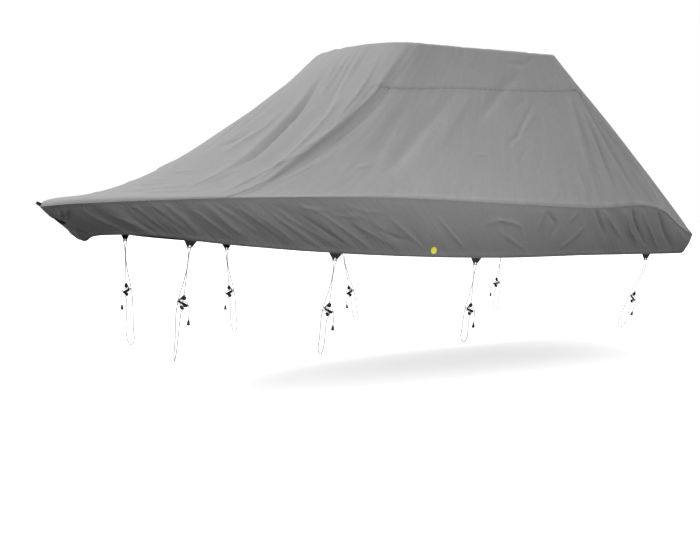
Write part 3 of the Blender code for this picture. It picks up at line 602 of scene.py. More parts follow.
class CoverSurface:
    """The smooth surface of the cover's port half, in the ship's own measures."""

    def __init__(self) -> None:
        """Draw the smooth curves through the tables."""
        self.hull = {name: spline(HULL, name) for name in Hull._fields[1:]}
        self.outline = {name: spline(ROOF, name) for name in Roof._fields[1:]}
        self.drape = {name: spline(DRAPE, name) for name in Drape._fields[1:]}
        self.lean_aft = spline(LEAN, "aft")

    def roof_height(self, x: Array, y: Array) -> Array:
        """The roof's height: a crown that falls away to the eaves and to the front."""
        fall = CROWN_FALL * np.clip((CROWN_X - x) / CROWN_RUN, 0, 1) ** 2
        rim = np.clip(np.abs(y) / ROOF_HALF, 0, 1) ** 2
        return EAVE_HEIGHT + EAVE_RISE * (x - EAVE_START) + CROWN * (1 - fall) * (1 - rim)

    def eave(self, along: Array) -> Points:
        """Points on the roof's edge."""
        around = self.drape["around"](along)
        x, y = self.outline["x"](around), -self.outline["half"](around)
        return np.stack([x, y, self.roof_height(x, y)], axis=-1)

    def rail(self, along: Array) -> Points:
        """Points on the rail seam."""
        hull = self.hull
        return np.stack([hull["x"](along), -hull["half"](along), hull["rail"](along)], axis=-1)

    def hem(self, along: Array) -> Points:
        """Points on the hem."""
        hull = self.hull
        return np.stack([hull["hem_x"](along), -hull["hem_half"](along), hull["hem"](along)], axis=-1)

    def roof(self, along: Array, inward: Array) -> Points:
        """The roof, from the eave at 0 to the centreline at 1."""
        edge = self.eave(along)
        length = ROOF[-1].x - ROOF[0].x
        inset = RIDGE_INSET + (1 - 2 * RIDGE_INSET) * self.drape["around"](along)
        x = edge[..., 0] + (ROOF[0].x + length * inset - edge[..., 0]) * inward
        y = edge[..., 1] * (1 - inward)
        return np.stack([x, y, self.roof_height(x, y)], axis=-1)

    def slope(self, along: Array, down: Array) -> Points:
        """The slopes, from the eave at 0 to the rail at 1."""
        head, foot = self.eave(along), self.rail(along)
        points = head + (foot - head) * down[..., None]
        rise = 1 - down
        low, high = self.drape["foot"](along), self.drape["head"](along)
        share = low * rise + (3 - 2 * low - high) * rise**2 + (low + high - 2) * rise**3
        run = rise * np.hypot(head[..., 0] - foot[..., 0], head[..., 1] - foot[..., 1])
        roll = self.drape["roll"](along) * (1 - np.exp(-run / ROLL_WIDTH)) * (1 - rise) ** 2
        points[..., 2] = foot[..., 2] + (head[..., 2] - foot[..., 2]) * share + roll
        return points

    def skirt(self, along: Array, down: Array) -> Points:
        """The skirt, from the rail at 0 to the hem at 1, its lines leaning aft."""
        reach = along + self.lean_aft(along) * down
        return self.rail(reach) + (self.hem(reach) - self.rail(reach)) * down[..., None]

    def outward(self, shape: Shape, along: Array, down: Array) -> Points:
        """Unit normals that point out of the cover.

        Args:
            shape: The slope or the skirt.
            along: Places along the rail.
            down: Shares of the way down.

        Returns:
            One normal for each place, level with the middle plane on the centreline.
        """
        step = 0.004
        a0, a1 = np.maximum(along - step, 0), np.minimum(along + step, HALF_GIRTH)
        d0, d1 = np.maximum(down - step, 0), np.minimum(down + step, 1)
        across = shape(a1, down) - shape(a0, down)
        normal = np.cross(shape(along, d1) - shape(along, d0), across)
        middle = (along < MERGE) | (along > HALF_GIRTH - MERGE)
        normal[..., 1] = np.where(middle, 0, normal[..., 1])
        return normal / np.linalg.norm(normal, axis=-1, keepdims=True)

    def length(self, shape: Shape, along: Array, steps: int = 40) -> Array:
        """The length of each line from head to foot."""
        downs = np.linspace(0, 1, steps + 1)
        points = shape(along[..., None], np.broadcast_to(downs, along.shape + downs.shape))
        return np.linalg.norm(np.diff(points, axis=-2), axis=-1).sum(axis=-1)

    def rail_over(self, hem_along: float) -> float:
        """The place on the rail whose line through the skirt ends at this place on the hem."""
        rails = np.linspace(0, HALF_GIRTH, 4001)
        return float(np.interp(hem_along, rails + self.lean_aft(rails), rails))


def placed(points: Points, side: Side) -> Points:
    """The ship's measures in the part's own frame, on either side of the centreline."""
    return points * np.array([1, -side.value, 1]) - np.array([MOUNT_X, 0, MOUNT_HEIGHT])


def turned(normals: Points, side: Side) -> Points:
    """Directions on the port half turned to either side."""
    return normals * np.array([1, -side.value, 1])


SURFACE = CoverSurface()


def solid_relief(folds: Sequence[Fold], along: Array, down: Array) -> Array:
    """The height of the solid skirt's folds over the smooth surface."""
    total = np.zeros(np.broadcast(along, down).shape)
    for fold in folds:
        crest = np.exp(-FOLD_SHARPNESS * ((along - fold.along) / fold.width) ** 2)
        within = np.clip((down - fold.top) / (fold.foot - fold.top), 0, 1)
        total += fold.height * crest * np.sin(math.pi * within) ** FOLD_FADE
    return total


def solid_skirt(along: Array, down: Array, side: Side) -> Points:
    """Points on the inner face of the skirt's solid."""
    height = solid_relief(SKIRT_FOLDS[side], along, down)
    normal = SURFACE.outward(SURFACE.skirt, along, down)
    return placed(SURFACE.skirt(along, down) + normal * height[..., None], side)


class CreaseField:
    """The creases of one panel's cloth on both sides, as lines in space."""

    def __init__(self, shape: Shape, creases: Sequence[Crease], gain: float, seed: int) -> None:
        """Draw each crease on the surface, and on the other side a shifted, uneven twin.

        Args:
            shape: The slope or the skirt.
            creases: The creases as seen on the port side.
            gain: How deep they lie, as a share of the table's heights.
            seed: For the shifts on the starboard side.
        """
        draws = np.random.default_rng(seed)
        self.lines: list[tuple[Crease, Points, Points, float]] = []
        for side in Side:
            for crease in creases:
                bends = np.array(crease.line)
                height = crease.height * gain
                if side is Side.STARBOARD:
                    bends = bends + draws.uniform(-1, 1, 2) * STARBOARD_SHIFT
                    height *= draws.uniform(*STARBOARD_HEIGHTS)
                bends = np.clip(bends, (0, 0), (HALF_GIRTH, 1))
                self.lines.append((crease, *self.trace(shape, bends, side), height))

    @staticmethod
    def trace(shape: Shape, bends: Array, side: Side) -> tuple[Points, Points]:
        """Points close together on a smooth line through the bends, and its directions."""
        knots = np.arange(len(bends), dtype=float)
        rough = placed(shape(bends[:, 0], bends[:, 1]), side)
        length = np.linalg.norm(np.diff(rough, axis=0), axis=1).sum()
        fine = np.linspace(0, knots[-1], max(8, int(length / CREASE_STEP)))
        along, down = (smooth(knots, bends[:, k])(fine) for k in (0, 1))
        points = placed(shape(along, np.clip(down, 0, 1)), side)
        ways = np.gradient(points, axis=0)
        return points, ways / np.linalg.norm(ways, axis=1, keepdims=True)

    def height(self, points: Points) -> Array:
        """The creases' height at points of the smooth surface, in the part's own frame."""
        flat = points.reshape(-1, 3)
        total = np.zeros(len(flat))
        for crease, line, ways, height in self.lines:
            reach = CREASE_REACH * crease.width
            near = ((flat > line.min(axis=0) - reach) & (flat < line.max(axis=0) + reach)).all(axis=1)
            places = np.flatnonzero(near)
            if not len(places):
                continue
            gaps = flat[places][:, None] - line[None]
            squares = (gaps**2).sum(axis=2)
            nearest = squares.argmin(axis=1)
            rows = np.arange(len(places))
            past = (gaps[rows, nearest] * ways[nearest]).sum(axis=1) ** 2
            inner = (nearest > 0) & (nearest < len(line) - 1)
            distance = np.sqrt(np.maximum(squares[rows, nearest] - np.where(inner, past, 0), 0))
            distance /= np.where(gaps[rows, nearest, 0] < 0, CREASE_FORE, CREASE_AFT)
            fade = np.sin(math.pi * (nearest + 1) / (len(line) + 1)) ** CREASE_FADE
            total[places] += height * fade * np.exp(-((distance / crease.width) ** CREASE_POWER))
        return total.reshape(points.shape[:-1])


def unevenness(u: Array, v: Array, seed: int) -> Array:
    """Smooth seeded noise from -1 to 1.

    Args:
        u: First coordinate, one unit a bump.
        v: Second coordinate.
        seed: Which noise.

    Returns:
        The noise at each place.
    """
    size = 64
    table = np.random.default_rng(seed).uniform(-1, 1, (size, size))
    i, j = np.floor(u).astype(int), np.floor(v).astype(int)
    s, t = eased(u - i), eased(v - j)
    near = table[i % size, j % size] * (1 - s) + table[(i + 1) % size, j % size] * s
    far = table[i % size, (j + 1) % size] * (1 - s) + table[(i + 1) % size, (j + 1) % size] * s
    return near * (1 - t) + far * t


@dataclass
class Drapery:
    """The cover's surface as the cloth really lies: creased, uneven, rolled at the rail and hemmed."""

    roll_height: float = 0.005
    roll_drop: float = 0.030
    roll_width: float = 0.022
    rail_fade: float = 0.070
    broad: float = 0.0035
    broad_size: tuple[float, float] = (0.26, 0.80)
    fine: float = 0.0018
    fine_size: tuple[float, float] = (0.085, 0.24)
    slope_gain: float = 2.1
    skirt_gain: float = 2.0
    billow: float = 0.014
    hem_height: float = 0.0045
    hem_drop: float = 0.030
    hem_width: float = 0.016
    tuck: float = 0.0019
    tuck_run: float = 0.012
    end_fade: float = 0.2
    seed: int = 7
    calm: list[tuple[Vector, float]] = field(default_factory=list)

    def __post_init__(self) -> None:
        """Draw the creases."""
        self.slope_creases = CreaseField(SURFACE.slope, SLOPE_CREASES, self.slope_gain, self.seed)
        self.skirt_creases = CreaseField(SURFACE.skirt, SKIRT_CREASES, self.skirt_gain, self.seed + 1)

    def noise(self, along: Array, drop: Array, side: Side) -> Array:
        """Unevenness that runs down the cloth, in two sizes; none at the stern's middle."""
        end = eased((HALF_GIRTH - along) / self.end_fade)
        signed = along * side.value
        total = np.zeros(np.broadcast(along, drop).shape)
        sizes = ((self.broad, self.broad_size), (self.fine, self.fine_size))
        for number, (height, (wide, long)) in enumerate(sizes):
            total += height * unevenness(signed / wide, drop / long, self.seed + 2 + number)
        return total * end

    def slope(self, along: Array, down: Array, side: Side, sink: Array = 0.0) -> Points:
        """Points on the slopes' cloth.

        Args:
            along: Places along the rail.
            down: Shares of the way down.
            side: Which half.
            sink: How far each point lies under its neighbour's edge.

        Returns:
            Points in the part's own frame.
        """
        along, down = np.broadcast_arrays(along, down)
        base = placed(SURFACE.slope(along, down), side)
        normal = turned(SURFACE.outward(SURFACE.slope, along, down), side)
        length = SURFACE.length(SURFACE.slope, along[:, along.shape[1] // 2])[:, None]
        to_rail = (1 - down) * length
        height = self.slope_creases.height(base) + self.noise(along, down * length, side)
        height = height * eased(to_rail / self.rail_fade)
        height += self.roll_height * np.exp(-(((to_rail - self.roll_drop) / self.roll_width) ** 2))
        return base + normal * (height - sink)[..., None]

    def roof(self, along: Array, inward: Array, side: Side) -> Points:
        """Points on the roof's cloth, where the slopes' creases run out."""
        along, inward = np.broadcast_arrays(along, inward)
        base = placed(SURFACE.roof(along, inward), side)
        height = self.slope_creases.height(base) + self.noise(along, -inward, side) * (1 - inward)
        return base + np.array([0, 0, 1]) * height[..., None]

    def skirt(self, along: Array, down: Array, side: Side, sink: Array = 0.0) -> Points:
        """Points on the skirt's cloth, on the folds of its solid."""
        along, down = np.broadcast_arrays(along, down)
        base = solid_skirt(along, down, side)
        normal = turned(SURFACE.outward(SURFACE.skirt, along, down), side)
        length = SURFACE.length(SURFACE.skirt, along[:, 0])[:, None]
        to_hem = (1 - down) * length
        height = self.skirt_creases.height(placed(SURFACE.skirt(along, down), side))
        height += self.noise(along, down * length, side) + self.billow * np.sin(math.pi * down)
        height = height * eased(down * length / self.rail_fade) * self.stillness(base)
        height += self.hem_height * np.exp(-(((to_hem - self.hem_drop) / self.hem_width) ** 2))
        return base + normal * (height - sink)[..., None]

    def tucked(self, gap: Array) -> Array:
        """How far the cloth lies under its neighbour, at a distance from its edge."""
        return self.tuck * (1 - eased(gap / self.tuck_run))

    def stillness(self, points: Points) -> Array:
        """One on free cloth, falling to none where a tab or patch holds it."""
        total = np.ones(points.shape[:-1])
        for centre, radius in self.calm:
            distance = np.linalg.norm(points - np.array(centre), axis=-1)
            total *= 1 - np.exp(-((distance / radius) ** 2))
        return total


# ---------------------------------------------------------------- node trees

Socket = bpy.types.NodeSocket
SHADER = "ShaderNodeTree"
VECTOR = "NodeSocketVector"
NUMBER = "NodeSocketFloat"
GEOMETRY = "NodeSocketGeometry"
BLOTCH_SCALE = 2.2
STREAK_SCALES = (22.0, 1.6)


class Graph:
    """A node tree while it is being wired."""

    def __init__(self, tree: NodeTree) -> None:
        """Start on an empty tree."""
        self.tree = tree
        tree.nodes.clear()

    def feed(self, node: Node, inputs: dict) -> None:
        """Link or set a node's inputs, by name or number."""
        for key, value in inputs.items():
            if isinstance(value, Socket):
                self.tree.links.new(value, node.inputs[key])
            else:
                node.inputs[key].default_value = value

    def node(self, kind: str, inputs: dict | None = None, **settings: object) -> Node:
        """Add a node.

        Args:
            kind: The node's type.
            inputs: Values or sockets for its inputs, by name or number.
            settings: The node's own settings.

        Returns:
            The node.
        """
        made = self.tree.nodes.new(kind)
        for name, value in settings.items():
            setattr(made, name, value)
        self.feed(made, inputs or {})
        return made

    def maths(self, operation: str, *values: object, clamp: bool = False) -> Socket:
        """One sum of a Math node, from numbers or sockets."""
        inputs = dict(enumerate(values))
        return self.node("ShaderNodeMath", inputs, operation=operation, use_clamp=clamp).outputs[0]

    def group(self, made: NodeTree, **inputs: object) -> Socket:
        """Place a shader group with its own values, for the one socket that it puts out."""
        return self.node("ShaderNodeGroup", inputs, node_tree=made).outputs[0]

    def parts(self, vector: Socket) -> Sequence[Socket]:
        """The three numbers of a vector."""
        return self.node("ShaderNodeSeparateXYZ", {0: vector}).outputs

    def stretched(self, operation: str, vector: Socket, *amounts: object) -> Socket:
        """A vector whose numbers are each multiplied or divided by their own amount."""
        sums = [self.maths(operation, part, amount) for part, amount in zip(self.parts(vector), amounts)]
        return self.node("ShaderNodeCombineXYZ", dict(enumerate(sums))).outputs[0]

    def signed_noise(self, place: Socket, **inputs: float) -> Socket:
        """A noise from -1 to 1."""
        noise = self.node("ShaderNodeTexNoise", {"Vector": place, **inputs})
        return self.maths("MULTIPLY_ADD", noise.outputs["Fac"], 2.0, -1.0)

    def crossed(self, *turns: Socket) -> Socket:
        """The height of two sets of threads that pass over and under each other, each a turn apart."""
        first, second = (self.maths("SINE", self.maths("MULTIPLY", turn, math.pi)) for turn in turns)
        over = self.maths("GREATER_THAN", self.maths("MULTIPLY", first, second), 0.0)
        under = self.maths("SUBTRACT", 1.0, over)
        warp = self.maths("MULTIPLY", self.maths("ABSOLUTE", first), over)
        weft = self.maths("MULTIPLY", self.maths("ABSOLUTE", second), under)
        return self.maths("ADD", warp, weft)

    def raised(self, height: Socket) -> Socket:
        """The normal of a surface that is raised by a height in metres."""
        return self.node("ShaderNodeBump", {"Height": height, "Distance": 1.0, "Strength": 1.0}).outputs[0]


def new_group(
    name: str, kind: str, inputs: dict[str, str], outputs: dict[str, str]
) -> tuple[Graph, Sequence[Socket]]:
    """Start a node group with named sockets.

    Args:
        name: The group's name.
        kind: Its tree type.
        inputs: Socket types by input name.
        outputs: Socket types by output name.

    Returns:
        The group's graph, and the sockets that give its inputs.
    """
    made = bpy.data.node_groups.new(name, kind)
    for in_out, sockets in (("INPUT", inputs), ("OUTPUT", outputs)):
        for socket, socket_type in sockets.items():
            made.interface.new_socket(socket, in_out=in_out, socket_type=socket_type)
    graph = Graph(made)
    return graph, graph.node("NodeGroupInput").outputs


def weave_group() -> NodeTree:
    """A plain weave: two sets of threads that pass over and under each other."""
    graph, given = new_group("weave", SHADER, {"Vector": VECTOR, "Pitch": NUMBER}, {"Height": NUMBER})
    parts = graph.parts(given["Vector"])
    turns = [graph.maths("DIVIDE", parts[axis], given["Pitch"]) for axis in (0, 1)]
    graph.node("NodeGroupOutput", {"Height": graph.crossed(*turns)})
    return graph.tree


def crumple_group() -> NodeTree:
    """Thin, sharp wrinkles: the crests of a noise that is stretched along the cloth."""
    inputs = {"Vector": VECTOR, "Across": NUMBER, "Along": NUMBER, "Sharpness": NUMBER}
    graph, given = new_group("crumple", SHADER, inputs, {"Height": NUMBER})
    place = graph.stretched("DIVIDE", given["Vector"], given["Across"], given["Along"])
    noise = graph.signed_noise(place, Scale=1.0, Detail=3.0, Distortion=0.8)
    crest = graph.maths("SUBTRACT", 1.0, graph.maths("ABSOLUTE", noise), clamp=True)
    graph.node("NodeGroupOutput", {"Height": graph.maths("POWER", crest, given["Sharpness"])})
    return graph.tree


def weathering_group() -> NodeTree:
    """Uneven tone: soft blotches, and streaks that water has left on its way down."""
    inputs = {"Vector": VECTOR, "Lines": VECTOR, "Blotch": NUMBER, "Streak": NUMBER}
    graph, given = new_group("weathering", SHADER, inputs, {"Tone": NUMBER})
    blotch = graph.signed_noise(given["Vector"], Scale=BLOTCH_SCALE, Detail=5.0)
    place = graph.stretched("MULTIPLY", given["Lines"], *STREAK_SCALES)
    streak = graph.signed_noise(place, Scale=1.0, Detail=3.0)
    pairs = ((blotch, given["Blotch"]), (streak, given["Streak"]))
    tones = [graph.maths("MULTIPLY", *pair) for pair in pairs]
    graph.node("NodeGroupOutput", {"Tone": graph.maths("ADD", *tones)})
    return graph.tree


def braid_group() -> NodeTree:
    """A round braid: strands that cross in two directions around the rope."""
    inputs = {"Vector": VECTOR, "Pitch": NUMBER, "Strands": NUMBER}
    graph, given = new_group("braid", SHADER, inputs, {"Height": NUMBER})
    parts = graph.parts(given["Vector"])
    around = graph.maths("MULTIPLY", parts[0], given["Strands"])
    along = graph.maths("DIVIDE", parts[1], given["Pitch"])
    turns = [graph.maths(way, around, along) for way in ("ADD", "SUBTRACT")]
    graph.node("NodeGroupOutput", {"Height": graph.crossed(*turns)})
    return graph.tree


# ---------------------------------------------------------------- finishes

Colour = tuple[float, float, float]
WEAVE_MAP = "weave"
LINES_MAP = "lines"
SEAM_MARK = "seam"


def shader_graph(name: str) -> tuple[Material, Graph, Node]:
    """A new material, its graph and its Principled shader."""
    made = bpy.data.materials.new(name)
    made.use_nodes = True
    graph = Graph(made.node_tree)
    shader = graph.node("ShaderNodeBsdfPrincipled")
    graph.node("ShaderNodeOutputMaterial", {"Surface": shader.outputs[0]})
    return made, graph, shader


def tinted(graph: Graph, colour: Colour, *tones: Socket) -> Socket:
    """A colour made lighter or darker by masks around zero."""
    total = 1.0
    for tone in tones:
        total = graph.maths("ADD", total, tone)
    scaled = graph.node("ShaderNodeVectorMath", {0: colour, "Scale": total}, operation="SCALE")
    return scaled.outputs[0]


@dataclass(frozen=True)
class ClothFinish:
    """Woven polyester: weave, wrinkles, weathering, puckers along the seams, painted shade and dirt that
    darken the cloth along them, and painted shade that darkens it towards the hem.

    The sizes of the wrinkles are across and along the cloth, and then their sharpness.
    """

    name: str
    colour: Colour
    weave: float = 0.0016
    weave_depth: float = 0.00025
    wrinkle_size: tuple[float, float, float] = (0.11, 0.45, 5.0)
    wrinkle_depth: float = 0.0010
    crumple_size: tuple[float, float, float] = (0.05, 0.09, 7.0)
    crumple_depth: float = 0.0012
    pucker: float = 0.026
    pucker_depth: float = 0.0014
    pucker_run: float = 0.035
    blotch: float = 0.05
    streak: float = 0.045
    # Painted shade and dirt along the seams: how much darker the cloth is painted at a seam, and over what
    # distance that fades.
    grime: float = 0.03
    grime_run: float = 0.018
    # Painted shade: how much darker the colour is painted for each metre down the cloth.
    fall: float = 0.0
    roughness: float = 0.88

    def material(self, groups: "Groups") -> Material:
        """Build the cloth's material."""
        made, graph, shader = shader_graph(self.name)
        threads = graph.node("ShaderNodeUVMap", uv_map=WEAVE_MAP).outputs[0]
        lines = graph.node("ShaderNodeUVMap", uv_map=LINES_MAP).outputs[0]
        seam = graph.node("ShaderNodeAttribute", attribute_name=SEAM_MARK).outputs["Fac"]
        place = graph.node("ShaderNodeTexCoord").outputs["Object"]
        parts = graph.parts(lines)
        amounts = {"Blotch": self.blotch, "Streak": self.streak}
        tone = graph.group(groups.weathering, Vector=place, Lines=lines, **amounts)
        # Painted shade and dirt: the colour is darker close to each seam, where the panels' edges meet.
        beside = graph.maths("EXPONENT", graph.maths("DIVIDE", seam, -self.grime_run))
        seam_shade_and_dirt = graph.maths("MULTIPLY", beside, -self.grime)
        # Painted shade towards the hem: the colour grows darker with each metre down the cloth.
        lower = graph.maths("MULTIPLY", parts[1], -self.fall)
        wrinkle, crumple = (
            graph.group(groups.crumple, Vector=way, Across=across, Along=along, Sharpness=sharpness)
            for way, (across, along, sharpness) in ((lines, self.wrinkle_size), (threads, self.crumple_size))
        )
        near = graph.maths("EXPONENT", graph.maths("DIVIDE", seam, -self.pucker_run))
        ripples = graph.maths("SINE", graph.maths("MULTIPLY", parts[0], 2 * math.pi / self.pucker))
        layers = (
            (wrinkle, self.wrinkle_depth),
            (crumple, self.crumple_depth),
            (graph.maths("MULTIPLY", ripples, near), self.pucker_depth),
            (graph.group(groups.weave, Vector=threads, Pitch=self.weave), self.weave_depth),
        )
        height = graph.maths("MULTIPLY", *layers[0])
        for layer in layers[1:]:
            height = graph.maths("ADD", height, graph.maths("MULTIPLY", *layer))
        values = {
            "Base Color": tinted(graph, self.colour, tone, seam_shade_and_dirt, lower),
            "Roughness": self.roughness,
            "Specular IOR Level": 0.25,
            "Sheen Weight": 0.15,
            "Sheen Roughness": 0.6,
            "Normal": graph.raised(height),
        }
        graph.feed(shader, values)
        return made


@dataclass(frozen=True)
class WebbingFinish:
    """Black woven webbing, ribbed, with painted light and shade on its ribs, and a little faded."""

    name: str
    colour: Colour
    pitch: float = 0.0022
    depth: float = 0.0004
    blotch: float = 0.35
    streak: float = 0.1

    def material(self, groups: "Groups") -> Material:
        """Build the webbing's material."""
        made, graph, shader = shader_graph(self.name)
        place = graph.node("ShaderNodeTexCoord").outputs["Object"]
        threads = graph.node("ShaderNodeUVMap", uv_map=WEAVE_MAP).outputs[0]
        weave = graph.group(groups.weave, Vector=threads, Pitch=self.pitch)
        amounts = {"Blotch": self.blotch, "Streak": self.streak}
        faded = graph.group(groups.weathering, Vector=place, Lines=threads, **amounts)
        # Painted light and shade on the weave: lighter on the threads' crests, darker in the hollows between
        # them.
        painted_rib_shading = graph.maths("MULTIPLY_ADD", weave, 0.5, -0.2)
        colour = tinted(graph, self.colour, faded, painted_rib_shading)
        normal = graph.raised(graph.maths("MULTIPLY", weave, self.depth))
        graph.feed(shader, {"Base Color": colour, "Roughness": 0.72, "Normal": normal})
        return made


@dataclass(frozen=True)
class RopeFinish:
    """White braided cord, with painted shade in the braid's hollows."""

    name: str
    colour: Colour
    pitch: float = 0.0075
    strands: float = 8.0
    depth: float = 0.0009
    blotch: float = 0.05

    def material(self, groups: "Groups") -> Material:
        """Build the cord's material."""
        made, graph, shader = shader_graph(self.name)
        wound = graph.node("ShaderNodeUVMap", uv_map=WEAVE_MAP).outputs[0]
        place = graph.node("ShaderNodeTexCoord").outputs["Object"]
        height = graph.group(groups.braid, Vector=wound, Pitch=self.pitch, Strands=self.strands)
        # Painted shade: the colour is darker in the hollows between the braid's strands.
        painted_braid_shade = graph.maths("MULTIPLY_ADD", height, 0.16, -0.12)
        soiled = graph.group(groups.weathering, Vector=place, Lines=wound, Blotch=self.blotch, Streak=0.0)
        colour = tinted(graph, self.colour, painted_braid_shade, soiled)
        normal = graph.raised(graph.maths("MULTIPLY", height, self.depth))
        graph.feed(shader, {"Base Color": colour, "Roughness": 0.75, "Sheen Weight": 0.2, "Normal": normal})
        return made


@dataclass(frozen=True)
class MouldedFinish:
    """Moulded or printed plastic: faintly grained, and paler where it rubs."""

    name: str
    colour: Colour
    roughness: float
    grain: float = 900.0
    depth: float = 0.00008
    blotch: float = 0.25
    scuff: float = 60.0

    def material(self, groups: "Groups") -> Material:
        """Build the plastic's material."""
        made, graph, shader = shader_graph(self.name)
        place = graph.node("ShaderNodeTexCoord").outputs["Object"]
        worn = graph.group(groups.weathering, Vector=place, Lines=place, Blotch=self.blotch, Streak=0.0)
        rubbed = graph.node("ShaderNodeTexNoise", {"Vector": place, "Scale": self.scuff, "Detail": 4.0})
        scuffs = graph.maths("MULTIPLY_ADD", rubbed.outputs["Fac"], 0.3, -0.15)
        grain = graph.node("ShaderNodeTexNoise", {"Vector": place, "Scale": self.grain, "Detail": 2.0})
        values = {
            "Base Color": tinted(graph, self.colour, worn, scuffs),
            "Roughness": graph.maths("ADD", self.roughness, scuffs, clamp=True),
            "Normal": graph.raised(graph.maths("MULTIPLY", grain.outputs["Fac"], self.depth)),
        }
        graph.feed(shader, values)
        return made


@dataclass(frozen=True)
class Groups:
    """The node groups that the materials share."""

    weave: NodeTree
    crumple: NodeTree
    weathering: NodeTree
    braid: NodeTree


@dataclass(frozen=True)
class Finishes:
    """Every material of the cover."""

    top_cloth: Material
    skirt_cloth: Material
    thread: Material
    webbing: Material
    rope: Material
    plastic: Material
    yellow: Material


def make_finishes() -> Finishes:
    """Build the shared groups once, and each material with its own values."""
    groups = Groups(weave_group(), crumple_group(), weathering_group(), braid_group())
    top = ClothFinish("top_cloth", (0.235, 0.235, 0.237))
    # The skirt is the top's own cloth, painted darker as shade for where it hangs under the rail, and
    # painted darker still towards its hem as shade.
    skirt = replace(top, name="skirt_cloth", colour=(0.170, 0.170, 0.172), fall=0.42)
    skirt = replace(skirt, wrinkle_depth=0.0022, crumple_depth=0.0014)
    return Finishes(
        top_cloth=top.material(groups),
        skirt_cloth=skirt.material(groups),
        thread=MouldedFinish("thread", (0.225, 0.225, 0.225), 0.7).material(groups),
        webbing=WebbingFinish("webbing", (0.010, 0.010, 0.010)).material(groups),
        rope=RopeFinish("rope", (0.54, 0.53, 0.51)).material(groups),
        plastic=MouldedFinish("hook", (0.012, 0.012, 0.012), 0.45).material(groups),
        yellow=MouldedFinish("patch", (0.62, 0.57, 0.045), 0.5, blotch=0.06).material(groups),
    )


# ---------------------------------------------------------------- meshes

CLOTH_ANGLE = 55
EDGE_ANGLE = 50


def link(name: str, data: bpy.types.ID) -> Object:
    """Put mesh or curve data into the scene as an object."""
    item = bpy.data.objects.new(name, data)
    bpy.context.scene.collection.objects.link(item)
    return item


def plain_mesh(item: Object) -> Mesh:
    """The evaluated shape of an object as a mesh of its own."""
    graph = bpy.context.evaluated_depsgraph_get()
    return bpy.data.meshes.new_from_object(item.evaluated_get(graph), depsgraph=graph)


def shade(mesh: Mesh, degrees: float) -> None:
    """Smooth shading, with edges sharper than an angle left sharp."""
    mesh.shade_smooth()
    mesh.set_sharp_from_angle(angle=math.radians(degrees))


def set_map(mesh: Mesh, name: str, spots: Array) -> None:
    """Store one pair of coordinates for each vertex as a UV map."""
    corners = np.empty(len(mesh.loops), dtype=np.int32)
    mesh.loops.foreach_get("vertex_index", corners)
    layer = mesh.uv_layers.new(name=name)
    layer.data.foreach_set("uv", spots[corners].astype(np.float32).ravel())


def present(item: Object, finish: Material, slot: str, *nodes: str) -> Object:
    """Give a finished piece its material, hang it in place under the body's empty and hide the nodes that it
    stands for.
    """
    item.data.materials.clear()
    item.data.materials.append(finish)
    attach(item, BODY)
    if nodes:
        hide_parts(*nodes)
    LOG.info("%s: %d faces", item.name, len(item.data.polygons))
    return item


@dataclass
class Patch:
    """A grid of cloth, lines by rows, with its two maps and its distance from the nearest seam."""

    side: Side
    points: Points
    weave: Array
    lines: Array
    seam: Array


def cloth_mesh(name: str, patches: Sequence[Patch], thick: float) -> Object:
    """Join patches where they meet and give the cloth its thickness.

    Args:
        name: The piece's name.
        patches: Grids that share the points of the edges where they meet.
        thick: The cloth's thickness, which goes outwards.

    Returns:
        The piece as a plain mesh.
    """
    faces, start = [], 0
    for patch in patches:
        rows, columns = patch.seam.shape
        index = start + np.arange(rows * columns).reshape(rows, columns)
        start += rows * columns
        corners = [index[:-1, :-1], index[:-1, 1:], index[1:, 1:], index[1:, :-1]]
        if patch.side is Side.STARBOARD:
            corners.reverse()
        faces.append(np.stack(corners, axis=-1).reshape(-1, 4))
    points = np.concatenate([patch.points.reshape(-1, 3) for patch in patches])
    keys = np.round(points / MERGE).astype(np.int64)
    _, kept, joined = np.unique(keys, axis=0, return_index=True, return_inverse=True)
    faces = joined.ravel()[np.concatenate(faces)]
    mesh = bpy.data.meshes.new(name)
    mesh.from_pydata(points[kept].tolist(), [], faces.tolist())
    for label in (WEAVE_MAP, LINES_MAP):
        spots = np.concatenate([getattr(patch, label).reshape(-1, 2) for patch in patches])
        set_map(mesh, label, spots[kept])
    mark = mesh.attributes.new(SEAM_MARK, "FLOAT", "POINT")
    seams = np.concatenate([patch.seam.ravel() for patch in patches])
    mark.data.foreach_set("value", np.maximum(seams[kept], 0).astype(np.float32))
    item = link(name, mesh)
    solid = item.modifiers.new("cloth", "SOLIDIFY")
    solid.thickness = thick
    solid.offset = 1
    thickened = plain_mesh(item)
    item.modifiers.clear()
    item.data = thickened
    thickened.name = name
    shade(thickened, CLOTH_ANGLE)
    return item


def shares(lengths: Array, count: int, head: Sequence[float], foot: Sequence[float]) -> Array:
    """Rows down each line: at fixed distances from its two ends and evenly between.

    Args:
        lengths: Each line's length.
        count: How many rows lie between.
        head: Distances from the head, rising; one below zero lies under the neighbour.
        foot: Distances from the foot, rising.

    Returns:
        Shares of the way down, lines by rows.
    """
    lengths = lengths[:, None]
    near = np.array(head) / lengths
    far = 1 - np.array(foot)[::-1] / lengths
    inner = np.linspace(0, 1, count + 2)[1:-1]
    return np.concatenate([near, near[:, -1:] + (far[:, :1] - near[:, -1:]) * inner, far], axis=1)


def spread(low: float, high: float, pitch: float, ends: Sequence[float] = ()) -> Array:
    """Places from low to high about a pitch apart, with closer ones at the ends."""
    count = max(2, math.ceil((high - low) / pitch))
    places = set(np.linspace(low, high, count + 1))
    for gap in ends:
        places |= {low + gap, high - gap}
    return np.array(sorted(places))


